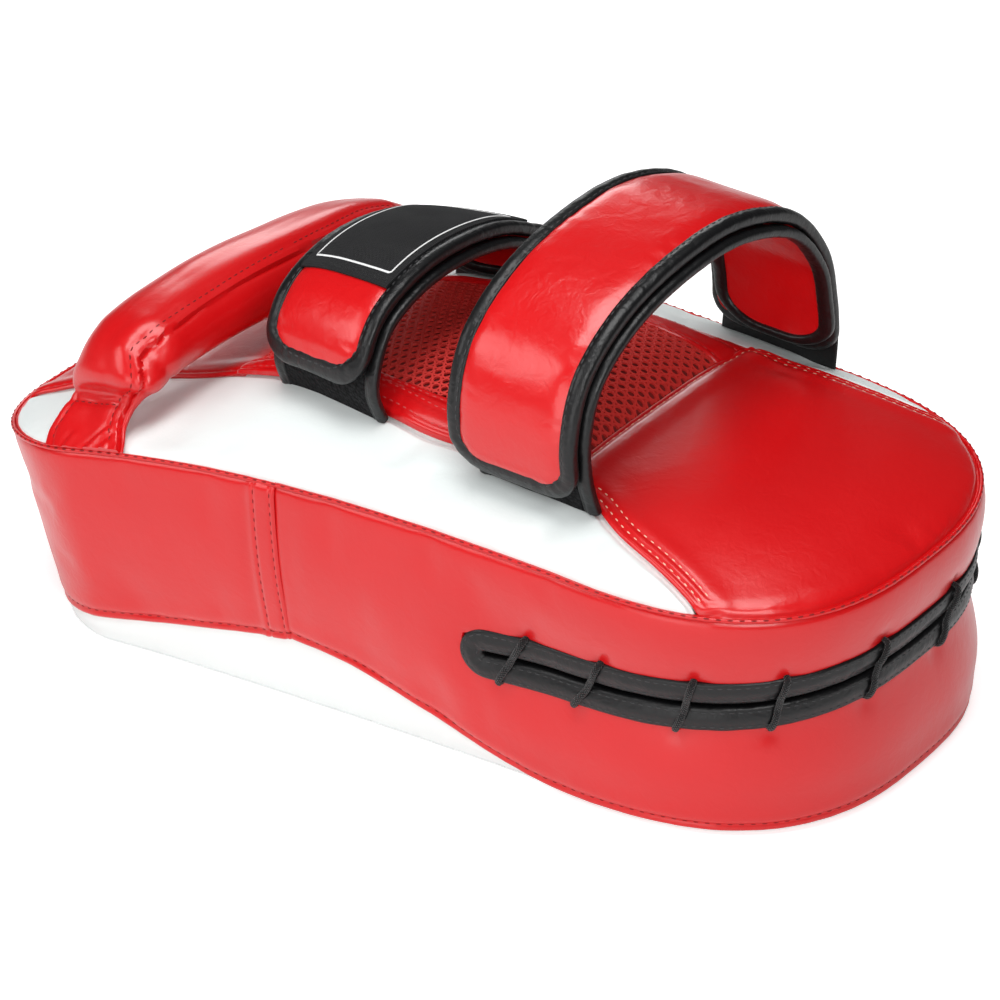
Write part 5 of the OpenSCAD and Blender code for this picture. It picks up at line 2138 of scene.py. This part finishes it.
    def label(self) -> None:
        """A bare woven patch over the top of the strap with a plain line round it."""
        half, (s0, s1) = self.half - self.bind + 1.0, self.patch
        s = np.linspace(s0, s1, 90)[:, None]
        u = np.linspace(-1, 1, 44)[None]
        fold = 0.5 * hump((s - s0) * self.length - 1.2, 1.2) + 0.5 * hump((s1 - s) * self.length - 1.2, 1.2)
        points = self.at(s, self.x + u * half, self.label_o + 0.4 * (1 - u**4) + fold)
        uv = np.stack(np.broadcast_arrays(s * self.length, u * half), -1)
        piece = self.sheet("label_patch", points, LABEL_WEAVE, Slot.LABEL, 1.1, uv=uv)
        self.bend(piece, f"{self.name}_label")
        way0, way1, w = s0 * self.length + 4.6, s1 * self.length - 4.6, half - 3.4
        corner = [(way0, -w), (way0, w), (way1, w), (way1, -w), (way0, -w)]
        path = Line(np.array(corner, float)).spaced(1.2).points
        a = angles(60)
        place = path[:, None] + left_of(unit(np.gradient(path, axis=0)))[:, None] * (np.cos(a) * 0.34)[:, None]
        off = self.line_o + 0.4 * (1 - (place[..., 1] / half) ** 4) + 0.22 * np.sin(a)
        rings = self.at(place[..., 0] / self.length, self.x + place[..., 1], off)[:-1]
        line = sweep(f"{self.name}_label_line", rings, closed=True)
        self.bend(dress(line, LABEL_LINE))


WRIST = Strap("wrist", Body.WRIST_FLAP,
              np.array([(-51, 0), (-55, 12), (-52, 24), (-44, 34), (-26, 40), (-5, 40.5), (18, 36), (36, 27),
                        (50, 17.5), (53, 9), (51, 0)], float),
              x=-42, half=28, cone_y=0.09, cone_z=0.05, skew=0.01, tip=0.11, seed=1.3, slim=3, patch=(0.335, 0.69))
FOREARM = Strap("forearm", Body.FOREARM_FLAP,
                np.array([(-62.5, 0), (-67, 16), (-67, 34), (-59, 52), (-38, 66), (-9, 73.4), (23, 74.2), (53.8, 63.8),
                          (70.8, 44.4), (75.5, 26), (76.7, 11), (75, 0)], float),
                x=60, half=28.5, cone_y=0.0, cone_z=0.0, skew=0.05, tip=0.05, seed=4.4, slim=7)


# Studio


@dataclass
class Studio:
    """Floor, light and the camera at the photograph's angle."""

    azimuth: float = 37.53
    elevation: float = 30.34
    roll: float = -2.04
    distance: float = 2.11117
    target: tuple[float, float, float] = (-0.00637, 0.00344, 0.05133)
    lens: float = 197.49
    shift: tuple[float, float] = (-0.0014, 0.0005)
    # Name, place, size and power of each soft box
    boxes: tuple[tuple[str, tuple[float, float, float], float, float], ...] = (
        ("key", (1.5, -1.4, 1.5), 1.1, 25), ("fill", (-1.3, -1.5, 1.3), 1.2, 14), ("top", (0.1, -0.2, 2.2), 1.3, 32),
        ("low", (0.3, -2.3, 0.6), 1.2, 12), ("back", (-1.7, 1.9, 1.0), 0.9, 9))

    def camera(self) -> None:
        """Make the camera."""
        a, e, r = (math.radians(angle) for angle in (self.azimuth, self.elevation, self.roll))
        back = Vector((math.sin(a) * math.cos(e), -math.cos(a) * math.cos(e), math.sin(e)))
        right = Vector((math.cos(a), math.sin(a), 0))
        up = back.cross(right)
        x = right * math.cos(r) + up * math.sin(r)
        y = up * math.cos(r) - right * math.sin(r)
        data = bpy.data.cameras.new("camera")
        data.lens, data.sensor_width = self.lens, 36
        data.shift_x, data.shift_y = self.shift
        data.clip_start, data.clip_end = 0.05, 20
        cam = bpy.data.objects.new("camera", data)
        place = Vector(self.target) + back * self.distance
        cam.matrix_world = Matrix.Translation(place) @ Matrix((x, y, back)).transposed().to_4x4()
        bpy.context.scene.collection.objects.link(cam)
        bpy.context.scene.camera = cam

    def floor(self) -> None:
        """A plain white floor that keeps the shadow."""
        deselect()
        bpy.ops.mesh.primitive_plane_add(size=14, location=(0, 0, -0.0004))
        floor = bpy.context.active_object
        floor.name = "floor"
        made = bpy.data.materials.new("floor_white")
        made.use_nodes = True
        on = Wiring(made.node_tree, made.node_tree.nodes["Principled BSDF"])
        seen = on.add("LightPath").outputs
        glow = on.math("MULTIPLY_ADD", seen["Is Camera Ray"], 0.5, 0.0)
        glow = on.math("MULTIPLY_ADD", seen["Is Glossy Ray"], 0.1, glow)
        on.feed(Base_Color=(0.93, 0.93, 0.93, 1), Roughness=0.9, Specular_IOR_Level=0.1, Emission_Color=(1, 1, 1, 1),
                Emission_Strength=glow)
        floor.data.materials.append(made)

    def light(self) -> None:
        """Soft boxes and an even white room."""
        world = bpy.data.worlds.new("room")
        world.use_nodes = True
        on = Wiring(world.node_tree, world.node_tree.nodes["Background"])
        seen = on.add("LightPath").outputs["Is Camera Ray"]
        on.feed(Color=(1, 1, 1, 1), Strength=on.math("MAXIMUM", seen, 0.05))
        bpy.context.scene.world = world
        for name, spot, size, watts in self.boxes:
            data = bpy.data.lights.new(name, "AREA")
            data.shape, data.size, data.energy = "SQUARE", size, watts
            lamp = bpy.data.objects.new(name, data)
            aim = Vector((0, 0, 0.06)) - Vector(spot)
            lamp.matrix_world = Matrix.Translation(spot) @ aim.to_track_quat("-Z", "Y").to_matrix().to_4x4()
            bpy.context.scene.collection.objects.link(lamp)
        bpy.context.scene.view_settings.view_transform = "Standard"


def main() -> None:
    """Build the pad in order."""
    logging.basicConfig(level=logging.INFO, format="%(name)s: %(message)s")
    for name in ("Cube", "Light", "Camera"):
        if name in bpy.data.objects:
            bpy.data.objects.remove(bpy.data.objects[name])
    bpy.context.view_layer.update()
    studio = Studio()
    studio.camera()
    for part in (StrikingFace(), Walls(), Back(), LACING, Handle(), WRIST, FOREARM):
        part.build()
    WRIST.label()
    for node in ("forearm_foam", "foam_back", "foam_core", "foam_strike", "handle_core"):
        coat(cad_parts[node], FOAM_CUT)
    studio.floor()
    studio.light()
    deselect()


if __name__ == "__main__":
    main()
